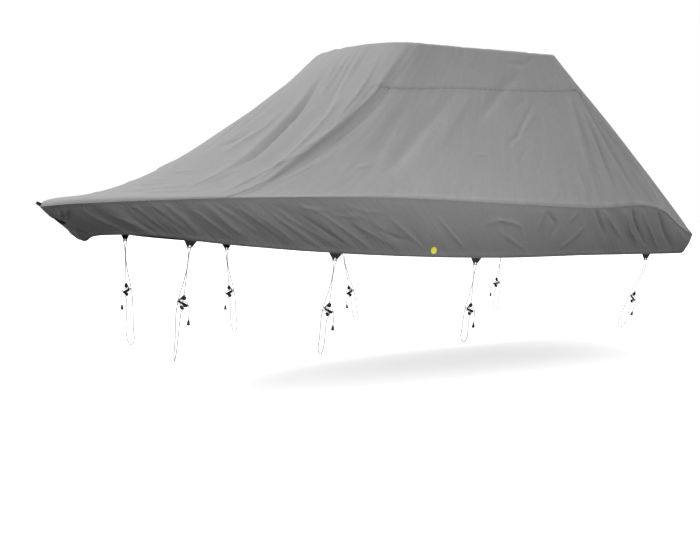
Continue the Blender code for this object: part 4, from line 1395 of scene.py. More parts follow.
def unrolled(lines: Array, down: Array) -> Array:
    """The slope laid flat: each point at its true distance from the eave, in the spoke's direction."""
    steps = np.linspace(0, 1, 41)
    reach = run_along(SURFACE.slope(lines[:, None], np.broadcast_to(steps, (len(lines), len(steps)))))
    run = np.stack([np.interp(share, steps, far) for share, far in zip(down, reach)])
    head, foot = SURFACE.eave(lines), SURFACE.rail(lines)
    way = (foot - head)[:, :2]
    way /= np.linalg.norm(way, axis=1, keepdims=True)
    return head[:, None, :2] + way[:, None] * run[..., None]


EDGE_INWARD = (0.030, 0.014)
EDGE_ROWS = (0.0, 0.006, 0.013, 0.022, 0.033)
TUCK_ROWS = (-0.008, *EDGE_ROWS)
HEAD_ROWS = (0.0, 0.010, 0.022)
HEM_ROWS = (0.0, 0.005, 0.014, 0.024, 0.034, 0.046)


@dataclass
class ClothPanel:
    """What the panels of the cover share."""

    drapery: Drapery
    thick: float = 0.0015

    def slope_patch(self, lines: Array, down: Array, side: Side, gaps: Sequence[Array],
                    tucked: bool = False) -> Patch:
        """A patch of slope.

        Args:
            lines: Places along.
            down: Shares of the way down, lines by rows.
            side: Which half.
            gaps: Signed distances from its seams; below zero the cloth lies under its neighbour.
            tucked: Whether its edges lie under their neighbours.

        Returns:
            The patch.
        """
        along = np.broadcast_to(lines[:, None], down.shape)
        seam = np.minimum.reduce(np.broadcast_arrays(*gaps))
        under = self.drapery.tucked(seam) if tucked else np.zeros(down.shape)
        length = SURFACE.length(SURFACE.slope, lines)[:, None]
        weave = unrolled(lines, down) * (1, -side.value)
        return Patch(
            side,
            self.drapery.slope(along, down, side, under),
            weave,
            np.stack([along, down * length], axis=-1),
            seam,
        )

    @staticmethod
    def spacing(lines: Array, down: Array) -> Array:
        """Metres of cloth for each metre along the rail, at each place."""
        points = SURFACE.slope(np.broadcast_to(lines[:, None], down.shape), down)
        return np.linalg.norm(np.gradient(points, lines, axis=0), axis=-1)


@dataclass
class CentrePanel(ClothPanel):
    """Bow slope, roof and stern slope in one cloth, with the side panels left out."""

    bow_pitch: float = 0.0185
    side_pitch: float = 0.040
    stern_pitch: float = 0.040
    roof_rows: int = 13
    upper_rows: int = 15
    bow_rows: int = 104
    stern_rows: int = 44
    rounding: int = 2
    reach: int = 3
    crown_ease: float = 1.15
    area: float = 16.6

    def stations(self) -> Array:
        """Places along the rail where the cloth's lines run."""
        ends = EDGE_ROWS[1:]
        bow = spread(0, CREASE_SEAM, self.bow_pitch, ends)
        side = spread(CREASE_SEAM, STERN_SEAM, self.side_pitch)
        stern = spread(STERN_SEAM, HALF_GIRTH, self.stern_pitch, ends)
        return np.concatenate([bow, side[1:-1], stern])

    def top(self, lines: Array, side: Side) -> Patch:
        """The roof and the strip under its edge, down to the seam."""
        across = lines[:, None]
        inward = np.append(np.linspace(1, 0, self.roof_rows + 1)[:-1] ** self.crown_ease, EDGE_INWARD)
        inward = np.broadcast_to(inward, (len(lines), len(inward)))
        seam = SURFACE.drape["seam"](lines)
        length = SURFACE.length(SURFACE.slope, lines)
        down = seam[:, None] * shares(seam * length, self.upper_rows, HEAD_ROWS, EDGE_ROWS)
        cloth = (self.drapery.roof(across, inward, side), self.drapery.slope(across, down, side))
        points = self.soften(np.concatenate(cloth, axis=1), inward.shape[1])
        roof_plan = SURFACE.roof(np.broadcast_to(across, inward.shape), inward)[..., :2]
        plan = np.concatenate([roof_plan, unrolled(lines, down)], axis=1)
        drop = np.concatenate([-inward, down * length[:, None]], axis=1)
        gap = (seam[:, None] - down) * length[:, None]
        sewn = (lines >= CREASE_SEAM - MERGE) & (lines <= STERN_SEAM + MERGE)
        beyond = np.maximum(CREASE_SEAM - lines, lines - STERN_SEAM)
        gap = np.where(sewn[:, None], gap, np.hypot(gap, beyond[:, None] * self.spacing(lines, down)))
        gap = np.concatenate([np.ones(inward.shape), gap], axis=1)
        ways = np.stack([np.broadcast_to(across, drop.shape), drop], axis=-1)
        return Patch(side, points, plan * (1, -side.value), ways, gap)

    def soften(self, points: Points, edge: int) -> Points:
        """Round the fold over the roof's edge, which lies at one row."""
        low, high = edge - self.reach, edge + self.reach
        for _ in range(self.rounding):
            middle = points[:, low : high + 1]
            points = points.copy()
            points[:, low + 1 : high] = (middle[:, :-2] + 2 * middle[:, 1:-1] + middle[:, 2:]) / 4
        return points

    def lower(self, lines: Array, rows: int, side: Side) -> Patch:
        """The bow or stern slope, from the seam's line down to the rail."""
        seam = SURFACE.drape["seam"](lines)[:, None]
        length = SURFACE.length(SURFACE.slope, lines)
        down = seam + (1 - seam) * shares((1 - seam[:, 0]) * length, rows, (0.0,), EDGE_ROWS)
        spacing = self.spacing(lines, down)
        beyond = np.maximum(CREASE_SEAM - lines, 0) + np.maximum(lines - STERN_SEAM, 0)
        to_side = np.minimum(np.abs(lines - CREASE_SEAM), np.abs(lines - STERN_SEAM))
        gaps = [(1 - down) * length[:, None], np.where(beyond[:, None] > 0, to_side[:, None] * spacing, 0)]
        return self.slope_patch(lines, down, side, gaps)

    def build(self, finish: Material) -> Object:
        """Make the panel."""
        lines = self.stations()
        patches = []
        for side in Side:
            patches.append(self.top(lines, side))
            patches.append(self.lower(lines[lines <= CREASE_SEAM + MERGE], self.bow_rows, side))
            patches.append(self.lower(lines[lines >= STERN_SEAM - MERGE], self.stern_rows, side))
        item = cloth_mesh("centre_cloth", patches, self.thick)
        present(item, finish, "top_cloth", "centre_panel")
        return item


@dataclass
class SidePanel(ClothPanel):
    """The cloth under the roof's edge, between the corner crease and the stern corner."""

    side: Side = Side.PORT
    pitch: float = 0.0165
    rows: int = 84
    area: float = 3.93

    def build(self, finish: Material) -> Object:
        """Make the panel."""
        tuck = -TUCK_ROWS[0]
        lines = spread(CREASE_SEAM, STERN_SEAM, self.pitch, EDGE_ROWS[1:])
        lines = np.concatenate([[CREASE_SEAM - tuck], lines, [STERN_SEAM + tuck]])
        seam = SURFACE.drape["seam"](lines)[:, None]
        length = SURFACE.length(SURFACE.slope, lines)
        down = seam + (1 - seam) * shares((1 - seam[:, 0]) * length, self.rows, TUCK_ROWS, EDGE_ROWS)
        spacing = self.spacing(lines, down)
        head = (down - seam) * length[:, None]
        fore = (lines - CREASE_SEAM)[:, None] * spacing
        aft = (STERN_SEAM - lines)[:, None] * spacing
        patch = self.slope_patch(lines, down, self.side, [head, fore, aft], tucked=True)
        foot = (1 - down) * length[:, None]
        patch.seam = np.minimum(patch.seam, foot)
        item = cloth_mesh(f"side_cloth_{self.side.word}", [patch], self.thick)
        present(item, finish, "top_cloth", f"side_panel_{self.side.word}")
        return item


@dataclass
class Skirt(ClothPanel):
    """The cloth that hangs from the rail seam, with its hem."""

    side: Side = Side.PORT
    pitch: float = 0.0145
    rows: int = 30
    area: float = 3.25

    def build(self, finish: Material) -> Object:
        """Make the skirt."""
        lines = spread(0, HALF_GIRTH, self.pitch)
        length = SURFACE.length(SURFACE.skirt, lines)
        down = shares(length, self.rows, EDGE_ROWS, HEM_ROWS)
        along = np.broadcast_to(lines[:, None], down.shape)
        drop = down * length[:, None]
        under = self.drapery.tucked(drop)
        points = self.drapery.skirt(along, down, self.side, under)
        points = np.concatenate([self.turned_in(lines), points], axis=1)
        drop = np.concatenate([np.full((len(lines), 1), TUCK_ROWS[0]), drop], axis=1)
        reach = along + SURFACE.lean_aft(along) * down
        reach = np.concatenate([lines[:, None], reach], axis=1)
        ran = np.concatenate([lines[:, None], along], axis=1)
        seam = np.minimum(np.abs(drop), length[:, None] - drop)
        weave = np.stack([reach, drop], axis=-1)
        patch = Patch(self.side, points, weave, np.stack([ran, drop], axis=-1), seam)
        item = cloth_mesh(f"skirt_cloth_{self.side.word}", [patch], self.thick)
        present(item, finish, "skirt_cloth", f"skirt_{self.side.word}")
        return item

    def turned_in(self, lines: Array) -> Points:
        """The edge that goes up behind the slopes' cloth at the rail."""
        length = SURFACE.length(SURFACE.slope, lines)[:, None]
        down = 1 + TUCK_ROWS[0] / length
        under = np.full(down.shape, self.drapery.tuck)
        base = placed(SURFACE.slope(lines[:, None], down), self.side)
        normal = turned(SURFACE.outward(SURFACE.slope, lines[:, None], down), self.side)
        return base - normal * under[..., None]


# ---------------------------------------------------------------- flat and turned pieces


Outline = Sequence[tuple[float, float]]


def frame_matrix(origin: Vector, across: Vector, up: Vector, out: Vector) -> Matrix:
    """The matrix that puts a flat outline in its place."""
    matrix = Matrix((across, up, out)).transposed().to_4x4()
    matrix.translation = origin
    return matrix


def circle(radius: float, count: int, centre: tuple[float, float]) -> Outline:
    """Points around a circle."""
    turns = [2 * math.pi * k / count for k in range(count)]
    return [(centre[0] + radius * math.cos(a), centre[1] + radius * math.sin(a)) for a in turns]


def rounded_line(corners: Outline, steps: int, cut: float = 0.25) -> Outline:
    """A closed outline with its corners cut round, some times over."""
    points = np.array(corners, dtype=float)
    for _ in range(steps):
        after = np.roll(points, -1, axis=0)
        pairs = np.stack([points + (after - points) * cut, after + (points - after) * cut], axis=1)
        points = pairs.reshape(-1, 2)
    return [tuple(point) for point in points]


def flat_mesh(name: str, outlines: Sequence[Outline], thick: float, edge: float, place: Matrix) -> Object:
    """A plate with rounded edges.

    Args:
        name: The piece's name.
        outlines: Its edge, and then its holes.
        thick: Its thickness.
        edge: The radius of its rounded edges.
        place: Where it goes.

    Returns:
        The plate as a plain mesh in its place, with a map of its own face.
    """
    curve = bpy.data.curves.new(name, "CURVE")
    curve.dimensions = "2D"
    curve.fill_mode = "BOTH"
    curve.extrude = thick / 2 - edge
    curve.bevel_depth = edge
    curve.bevel_resolution = 2
    curve.offset = -edge
    for points in outlines:
        line = curve.splines.new("POLY")
        line.points.add(len(points) - 1)
        for point, (x, y) in zip(line.points, points):
            point.co = (x, y, 0, 1)
        line.use_cyclic_u = True
    holder = link(name, curve)
    mesh = plain_mesh(holder)
    bpy.data.objects.remove(holder)
    bpy.data.curves.remove(curve)
    return settle(name, mesh, place)


def settle(name: str, mesh: Mesh, place: Matrix) -> Object:
    """Close a mesh's seams, map it by its own flat coordinates and put it in its place."""
    shape = bmesh.new()
    shape.from_mesh(mesh)
    bmesh.ops.remove_doubles(shape, verts=shape.verts, dist=MERGE)
    bmesh.ops.recalc_face_normals(shape, faces=shape.faces)
    shape.to_mesh(mesh)
    shape.free()
    for layer in list(mesh.uv_layers):
        mesh.uv_layers.remove(layer)
    spots = np.array([vert.co[:2] for vert in mesh.vertices])
    set_map(mesh, WEAVE_MAP, spots)
    mesh.transform(place)
    mesh.name = name
    shade(mesh, EDGE_ANGLE)
    return link(name, mesh)


def lathe(name: str, profile: Outline, count: int, place: Matrix) -> Object:
    """A turned piece.

    Args:
        name: The piece's name.
        profile: Radius and height from one pole to the other.
        count: Faces around.
        place: Where it goes, its axis along Z.

    Returns:
        The piece as a plain mesh in its place.
    """
    mesh = bpy.data.meshes.new(name)
    shape = bmesh.new()
    verts = [shape.verts.new((radius, 0, height)) for radius, height in profile]
    edges = [shape.edges.new(pair) for pair in zip(verts, verts[1:])]
    turn = {"cent": (0, 0, 0), "axis": (0, 0, 1), "angle": 2 * math.pi}
    bmesh.ops.spin(shape, geom=verts + edges, steps=count, use_merge=True, **turn)
    shape.to_mesh(mesh)
    shape.free()
    return settle(name, mesh, place)


# ---------------------------------------------------------------- stitches


@dataclass(frozen=True)
class Stitching:
    """Rows of stitches along lines on the cloth, made by Geometry Nodes."""

    pitch: float = 0.010
    length: float = 0.0068
    radius: float = 0.0009
    uneven: tuple[float, float] = (0.85, 1.1)
    seed: int = 5

    def tree(self, finish: Material) -> NodeTree:
        """The tree that sets a short thread at each step along a line."""
        numbers = dict.fromkeys(("Pitch", "Length", "Radius"), NUMBER)
        sizes = {"Geometry": GEOMETRY, **numbers, "Seed": "NodeSocketInt"}
        graph, given = new_group("stitch_row", "GeometryNodeTree", sizes, {"Geometry": GEOMETRY})
        line = {"Curve": given["Geometry"], "Length": given["Pitch"]}
        row = graph.node("GeometryNodeCurveToPoints", line, mode="LENGTH")
        turn = graph.node("FunctionNodeAlignRotationToVector", {"Vector": row.outputs["Tangent"]}, axis="Z")
        thread = graph.node(
            "GeometryNodeMeshCylinder",
            {"Vertices": 6, "Radius": given["Radius"], "Depth": given["Length"]},
            fill_type="NGON",
        )
        lengths = {2: self.uneven[0], 3: self.uneven[1], "Seed": given["Seed"]}
        stretch = graph.node("FunctionNodeRandomValue", lengths, data_type="FLOAT")
        scale = graph.node("ShaderNodeCombineXYZ", {0: 1.0, 1: 1.0, 2: stretch.outputs[1]})
        inputs = {
            "Points": row.outputs["Points"],
            "Instance": thread.outputs["Mesh"],
            "Rotation": turn.outputs[0],
            "Scale": scale.outputs[0],
        }
        rows = graph.node("GeometryNodeInstanceOnPoints", inputs)
        real = graph.node("GeometryNodeRealizeInstances", {"Geometry": rows.outputs[0]})
        dressed = graph.node("GeometryNodeSetMaterial", {"Geometry": real.outputs[0], "Material": finish})
        graph.node("NodeGroupOutput", {"Geometry": dressed.outputs[0]})
        return graph.tree

    def build(self, name: str, rows: Sequence[Points], finish: Material, slot: str) -> Object:
        """Sew along lines of points.

        Args:
            name: The piece's name.
            rows: One line of points for each row of stitches.
            finish: The thread's material.
            slot: The material slot of the cloth that it holds; not used.

        Returns:
            The stitches as one plain mesh.
        """
        curve = bpy.data.curves.new(name, "CURVE")
        curve.dimensions = "3D"
        for row in rows:
            line = curve.splines.new("POLY")
            line.points.add(len(row) - 1)
            line.points.foreach_set("co", np.pad(row, ((0, 0), (0, 1)), constant_values=1).ravel())
        holder = link(name, curve)
        sewn = holder.modifiers.new("stitches", "NODES")
        tree = self.tree(finish)
        sewn.node_group = tree
        values = {"Pitch": self.pitch, "Length": self.length, "Radius": self.radius, "Seed": self.seed}
        for socket in tree.interface.items_tree:
            if socket.in_out == "INPUT" and socket.name in values:
                sewn[socket.identifier] = values[socket.name]
        mesh = plain_mesh(holder)
        bpy.data.objects.remove(holder)
        shade(mesh, EDGE_ANGLE)
        return present(link(name, mesh), finish, slot)


@dataclass
class Seams:
    """Where the cover is sewn."""

    drapery: Drapery
    lift: float = 0.0018
    step: float = 0.012
    inset: float = 0.009
    second: float = 0.019
    hem: float = 0.024
    foot: float = 0.995
    count: int = 160
    probe: float = 0.01
    end_gap: float = 0.01

    def down_row(self, side: Side, at: float, along_shift: float) -> Points:
        """A row down a slope beside the seam at one place along."""
        down = np.linspace(float(SURFACE.drape["seam"](at)), self.foot, self.count)[None]
        places = np.array([at - self.probe, at, at + self.probe])
        spacing = ClothPanel.spacing(places, np.repeat(down, 3, axis=0))[1]
        along = at + along_shift / spacing[None]
        return self.drapery.slope(along, down, side, -self.lift)[0]

    def slope_row(self, side: Side, low: float, high: float, shape: Callable[[Array], Array],
                  drop: float) -> Points:
        """A row along the slopes, a distance above or below a line across them."""
        lines = np.arange(low, high, self.step)
        length = SURFACE.length(SURFACE.slope, lines)
        down = shape(lines) + drop / length
        return self.drapery.slope(lines[:, None], down[:, None], side, -self.lift)[:, 0]

    def skirt_row(self, side: Side, rise: float) -> Points:
        """A row along the skirt, a distance above the hem."""
        lines = np.arange(self.end_gap, HALF_GIRTH - self.end_gap, self.step)
        down = 1 - rise / SURFACE.length(SURFACE.skirt, lines)
        return self.drapery.skirt(lines[:, None], down[:, None], side, -self.lift)[:, 0]

    def top_rows(self) -> list[Points]:
        """Every row on the top cloth."""
        rows = []
        seam = SURFACE.drape["seam"]
        for side in Side:
            rows.append(self.slope_row(side, 0.0, HALF_GIRTH, np.ones_like, -self.inset))
            for drop in (self.inset, self.second):
                rows.append(self.slope_row(side, CREASE_SEAM, STERN_SEAM, seam, -drop))
                rows.append(self.down_row(side, CREASE_SEAM, -drop))
                rows.append(self.down_row(side, STERN_SEAM, drop))
        return rows

    def skirt_rows(self) -> list[Points]:
        """Every row on the skirts."""
        return [self.skirt_row(side, self.hem) for side in Side]


# ---------------------------------------------------------------- tabs, ropes and hooks


class TieFrame:
    """Where one tab and its tie lie: the tab square to the hem, the tie in line with its pull."""

    def __init__(self, tie: Tie, side: Side) -> None:
        """Set up the axes from the hem's own points."""
        along = [SURFACE.rail_over(tie.along + shift) for shift in (-TAB_WIDTH / 2, TAB_WIDTH / 2)]
        fore, aft = (Vector(end) for end in solid_skirt(np.array(along), np.ones(2), side))
        left, right = (fore, aft) if side is Side.PORT else (aft, fore)
        across = (right - left).normalized()
        level_out = across.cross(Vector((0, 0, 1))).normalized()
        leaning = Vector((0, 0, 1)) + level_out * math.tan(math.radians(tie.lean))
        up = (leaning - across * leaning.dot(across)).normalized()
        pull = (leaning + Vector((1, 0, 0)) * math.tan(math.radians(tie.rake))).normalized()
        out = across.cross(pull).normalized()
        self.tab_axes = (across, up, across.cross(up))
        self.tie_axes = (pull.cross(out), pull, out)
        self.width = (right - left).length
        self.top = (left + right) / 2 + level_out * SOLID_CLOTH / 2 - up * SEAT
        self.hole = self.top - up * TAB_HOLE_DROP
        self.hook = self.hole - pull * tie.drop
        self.foot = self.hole - pull * ((self.hole.z + MOUNT_HEIGHT - FOOT_HEIGHT) / pull.z)

    def point(self, bend: Bend) -> Vector:
        """A bend of the rope's route, in metres in the part's own frame."""
        origin = {"hook": self.hook, "hole": self.hole, "foot": self.foot}[bend.origin]
        axes = self.tab_axes if bend.origin == "hole" else self.tie_axes
        across, up, out = (axis * 0.001 for axis in axes)
        return origin + across * bend.across + up * bend.up + out * bend.out


@dataclass
class HemTab:
    """A tapered webbing tab under the hem, with the hole that its rope goes through."""

    frame: TieFrame
    name: str
    node: str
    edge: float = 0.0009
    side_inset: float = 0.010
    head_inset: float = 0.005
    tip_inset: float = 0.002
    foot_inset: float = 0.006

    def outline(self) -> Outline:
        """The tab's edge, a little rounded at the tip."""
        half, tip, corner = self.frame.width / 2 - SEAT, TAB_TIP / 2, TAB_TIP / 6
        right = [
            (half, 0),
            (tip + 0.001, -TAB_LENGTH + corner * 1.2),
            (tip - corner * 0.3, -TAB_LENGTH + 0.002),
            (tip - corner * 1.2, -TAB_LENGTH),
        ]
        return right[:1] + [(-x, y) for x, y in right] + right[:0:-1]

    def build(self, finish: Material) -> Object:
        """Make the tab."""
        hole = circle(TAB_HOLE, 24, (0, -TAB_HOLE_DROP))
        place = frame_matrix(self.frame.top, *self.frame.tab_axes)
        tab = flat_mesh(self.name, [self.outline(), hole], TAB_THICK, self.edge, place)
        return present(tab, finish, "webbing", self.node)

    def rows(self) -> list[Points]:
        """The stitches around the tab, on its outer face."""
        wide, narrow = self.frame.width / 2 - self.side_inset, TAB_TIP / 2 - self.tip_inset
        head, foot = -self.head_inset, self.foot_inset - TAB_LENGTH
        corners = [(-wide, head), (wide, head), (narrow, foot), (-narrow, foot), (-wide, head)]
        place = frame_matrix(self.frame.top, *self.frame.tab_axes)
        lift = TAB_THICK / 2 + 0.0002
        return [np.array([place @ Vector((x, y, lift)) for x, y in corners])]


@dataclass
class RopeHook:
    """The moulded S-shaped hook: a plate with rounded edges and the sleeve that grips the rope's end."""

    frame: TieFrame
    name: str
    node: str
    edge: float = 0.0022
    sleeve: Outline = (
        (0.0, 10.0),
        (6.2, 10.0),
        (7.4, 12.0),
        (7.4, 14.0),
        (6.9, 15.0),
        (7.2, 20.0),
        (6.8, 24.6),
        (5.6, 25.5),
        (0.0, 25.5),
    )

    def outline(self) -> Outline:
        """The hook's edge in metres, with its corners eased."""
        left = [math.radians(a) for a in HEAD_LEFT]
        right = [math.radians(a) for a in HEAD_RIGHT]
        edge = [(COLLAR_HALF, COLLAR_TOP), (-COLLAR_HALF, COLLAR_TOP)]
        edge += [(HEAD_RADIUS * math.cos(a), HEAD_RADIUS * math.sin(a)) for a in left]
        edge += HOOK_EDGE
        edge += [(HEAD_RADIUS * math.cos(a), HEAD_RADIUS * math.sin(a)) for a in right]
        return rounded_line([(x / 1000, y / 1000) for x, y in edge], 2)

    def build(self, finish: Material) -> Object:
        """Make the hook, its sleeve joined to it."""
        place = frame_matrix(self.frame.hook, *self.frame.tie_axes)
        hook = flat_mesh(self.name, [self.outline()], HOOK_THICK, self.edge, place)
        upright = place @ Matrix.Rotation(-math.pi / 2, 4, "X")
        profile = [(radius / 1000, height / 1000) for radius, height in self.sleeve]
        sleeve = lathe(self.name + "_sleeve", profile, 20, upright)
        both = bmesh.new()
        both.from_mesh(hook.data)
        both.from_mesh(sleeve.data)
        both.to_mesh(hook.data)
        both.free()
        bpy.data.objects.remove(sleeve)
        return present(hook, finish, "hook", self.node)


@dataclass
class TieRope:
    """One white cord: from the hook up through the tab, down to the trailer's height and back."""

    frame: TieFrame
    tie: Tie
    name: str
    node: str
    step: float = 0.006
    sides: int = 12

    def path(self) -> Points:
        """Points close together on the rope's smooth line."""
        corners = np.array([self.frame.point(bend) for bend in ROUTE])
        reach = run_along(corners)
        places = np.linspace(0, reach[-1], int(reach[-1] / self.step))
        return np.stack([smooth(reach, corners[:, k])(places) for k in range(3)], axis=-1)

    def tube(self, path: Points) -> Mesh:
        """A round tube along the path, with a map of turns and metres."""
        ways = np.gradient(path, axis=0)
        ways /= np.linalg.norm(ways, axis=1, keepdims=True)
        first = np.cross(ways[0], (0.3, 0.9, 0.2))
        rings, across = [], first / np.linalg.norm(first)
        angles = np.linspace(0, 2 * math.pi, self.sides, endpoint=False)
        for point, way in zip(path, ways):
            across = across - way * across.dot(way)
            across /= np.linalg.norm(across)
            other = np.cross(way, across)
            ring = np.outer(np.cos(angles), across) + np.outer(np.sin(angles), other)
            rings.append(point + ring * ROPE_DIAMETER / 2)
        count = len(path)
        index = np.arange(count * self.sides).reshape(count, self.sides)
        after = np.roll(index, -1, axis=1)
        quads = np.stack([index[:-1], after[:-1], after[1:], index[1:]], axis=-1).reshape(-1, 4)
        mesh = bpy.data.meshes.new(self.name)
        ends = [index[0][::-1].tolist(), index[-1].tolist()]
        mesh.from_pydata(np.concatenate(rings).tolist(), [], quads.tolist() + ends)
        self.map_tube(mesh, path)
        mesh.shade_smooth()
        return mesh

    def map_tube(self, mesh: Mesh, path: Points) -> None:
        """Store turns around and metres along for each corner, the last face of a ring closing the turn."""
        reach = run_along(path)
        corners = np.empty(len(mesh.loops), dtype=np.int32)
        mesh.loops.foreach_get("vertex_index", corners)
        turn = (corners % self.sides) / self.sides
        faces = (len(path) - 1) * self.sides
        wraps = turn[: faces * 4].reshape(-1, 4)
        wraps[(wraps.max(axis=1) - wraps.min(axis=1) > 0.5)[:, None] & (wraps == 0)] = 1.0
        turn[: faces * 4] = wraps.ravel()
        layer = mesh.uv_layers.new(name=WEAVE_MAP)
        spots = np.stack([turn, reach[corners // self.sides]], axis=-1)
        layer.data.foreach_set("uv", spots.astype(np.float32).ravel())

    def build(self, finish: Material) -> tuple[Object, Points]:
        """Make the rope; its path is given back for its end."""
        path = self.path()
        return present(link(self.name, self.tube(path)), finish, "rope", self.node), path


@dataclass
class RopeEnd:
    """The moulded bell on the rope's free tail."""

    name: str
    node: str
    count: int = 24
    tail: int = 12

    def build(self, path: Points, finish: Material) -> Object:
        """Make the bell in line with the rope's last stretch."""
        last = Vector(path[-1])
        down = (last - Vector(path[-self.tail])).normalized()
        top, foot, long = END_TOP, END_FOOT, END_LENGTH
        profile = [
            (0.0, 0.0),
            (top * 0.62, 0.0),
            (top * 0.9, 0.0016),
            (top, 0.004),
            (top * 0.97, 0.009),
            (top * 1.02, 0.012),
            (foot * 0.86, long * 0.55),
            (foot * 0.96, long * 0.82),
            (foot, long * 0.93),
            (foot * 0.97, long - 0.0012),
            (foot * 0.88, long),
            (foot * 0.5, long - 0.0015),
            (0.0, long - 0.0020),
        ]
        place = Matrix.Translation(last + down * SEAT) @ down.to_track_quat("Z", "Y").to_matrix().to_4x4()
        end = lathe(self.name, profile, self.count, place)
        return present(end, finish, "hook", self.node)


@dataclass
class BowTab:
    """The short folded tab that stands forward from the nose."""

    edge: float = 0.0014

    def build(self, finish: Material) -> Object:
        """Make the tab on the nose's lowest strip."""
        seam = float(SURFACE.drape["seam"](0.0))
        rows = seam + (1 - seam) * np.array([0.985, 1.0])
        high, low = (Vector(p) for p in placed(SURFACE.slope(np.zeros(2), rows), Side.PORT))
        along = low - high
        out = Vector((along.z, 0, -along.x)).normalized()
        base = high + out * (SOLID_CLOTH + SEAT)
        corners = [base + along * share + out * reach for share, reach in NOSE_TAB]
        outline = rounded_line([(p.x, p.z) for p in corners], 1, 0.08)
        place = frame_matrix(Vector(), Vector((1, 0, 0)), Vector((0, 0, 1)), Vector((0, -1, 0)))
        tab = flat_mesh("bow_webbing", [outline], NOSE_TAB_THICK, self.edge, place)
        return present(tab, finish, "webbing", "bow_tab")


@dataclass
class StemSaddle:
    """The webbing that lies over the stem, with a wing on either side."""

    columns: int = 14
    rows: int = 12
    thick: float = 0.003
    stem_run: float = 0.012
    fall: float = 0.4

    def build(self, finish: Material) -> Object:
        """Make the saddle, following the skirt on both sides."""
        along = np.linspace(0, SADDLE[-1].along, self.columns)[:, None]
        top, foot = (spline(SADDLE, edge)(along) for edge in ("top", "foot"))
        down = top + (foot - top) * np.linspace(0, 1, self.rows)
        along = np.broadcast_to(along, down.shape)
        patches = []
        for side in Side:
            points = SURFACE.skirt(along, down)
            normal = SURFACE.outward(SURFACE.skirt, along, down)
            height = solid_relief(SKIRT_FOLDS[side], along, down) + SOLID_CLOTH + SADDLE_GAP
            raised = points + normal * height[..., None]
            raised[..., 0] -= (SADDLE_STEM_LIFT - SOLID_CLOTH) * np.exp(-along / self.stem_run)
            raised[0, :, 1] = 0
            flat = np.stack([along * side.value, down * self.fall], axis=-1)
            patches.append(Patch(side, placed(raised, side), flat, flat, np.ones(down.shape)))
        item = cloth_mesh("stem_webbing", patches, self.thick)
        return present(item, finish, "webbing", "stem_tab")


@dataclass
class RoundPatch:
    """The plain round patch near the port hem, slightly domed, with a pressed rim."""

    def build(self, finish: Material) -> Object:
        """Make the patch where its solid is."""
        along, down = np.array(SURFACE.rail_over(PATCH_ALONG)), np.array(PATCH_DOWN)
        normal = Vector(SURFACE.outward(SURFACE.skirt, along, down))
        centre = Vector(solid_skirt(along, down, Side.PORT)) + normal * (SOLID_CLOTH + 2 * SEAT)
        radius, thick = PATCH_RADIUS, PATCH_THICK
        profile = [
            (0.0, 0.0),
            (radius * 0.97, 0.0),
            (radius, 0.0004),
            (radius, thick * 0.7),
            (radius * 0.985, thick * 0.95),
            (radius * 0.96, thick),
            (radius * 0.925, thick * 0.95),
            (radius * 0.91, thick * 0.7),
            (radius * 0.6, thick * 0.8),
            (radius * 0.3, thick * 0.86),
            (0.0, thick * 0.88),
        ]
        place = Matrix.Translation(centre) @ normal.to_track_quat("Z", "Y").to_matrix().to_4x4()
        disc = lathe("yellow_patch", profile, 64, place)
        return present(disc, finish, "patch", "round_patch")


# ---------------------------------------------------------------- the studio


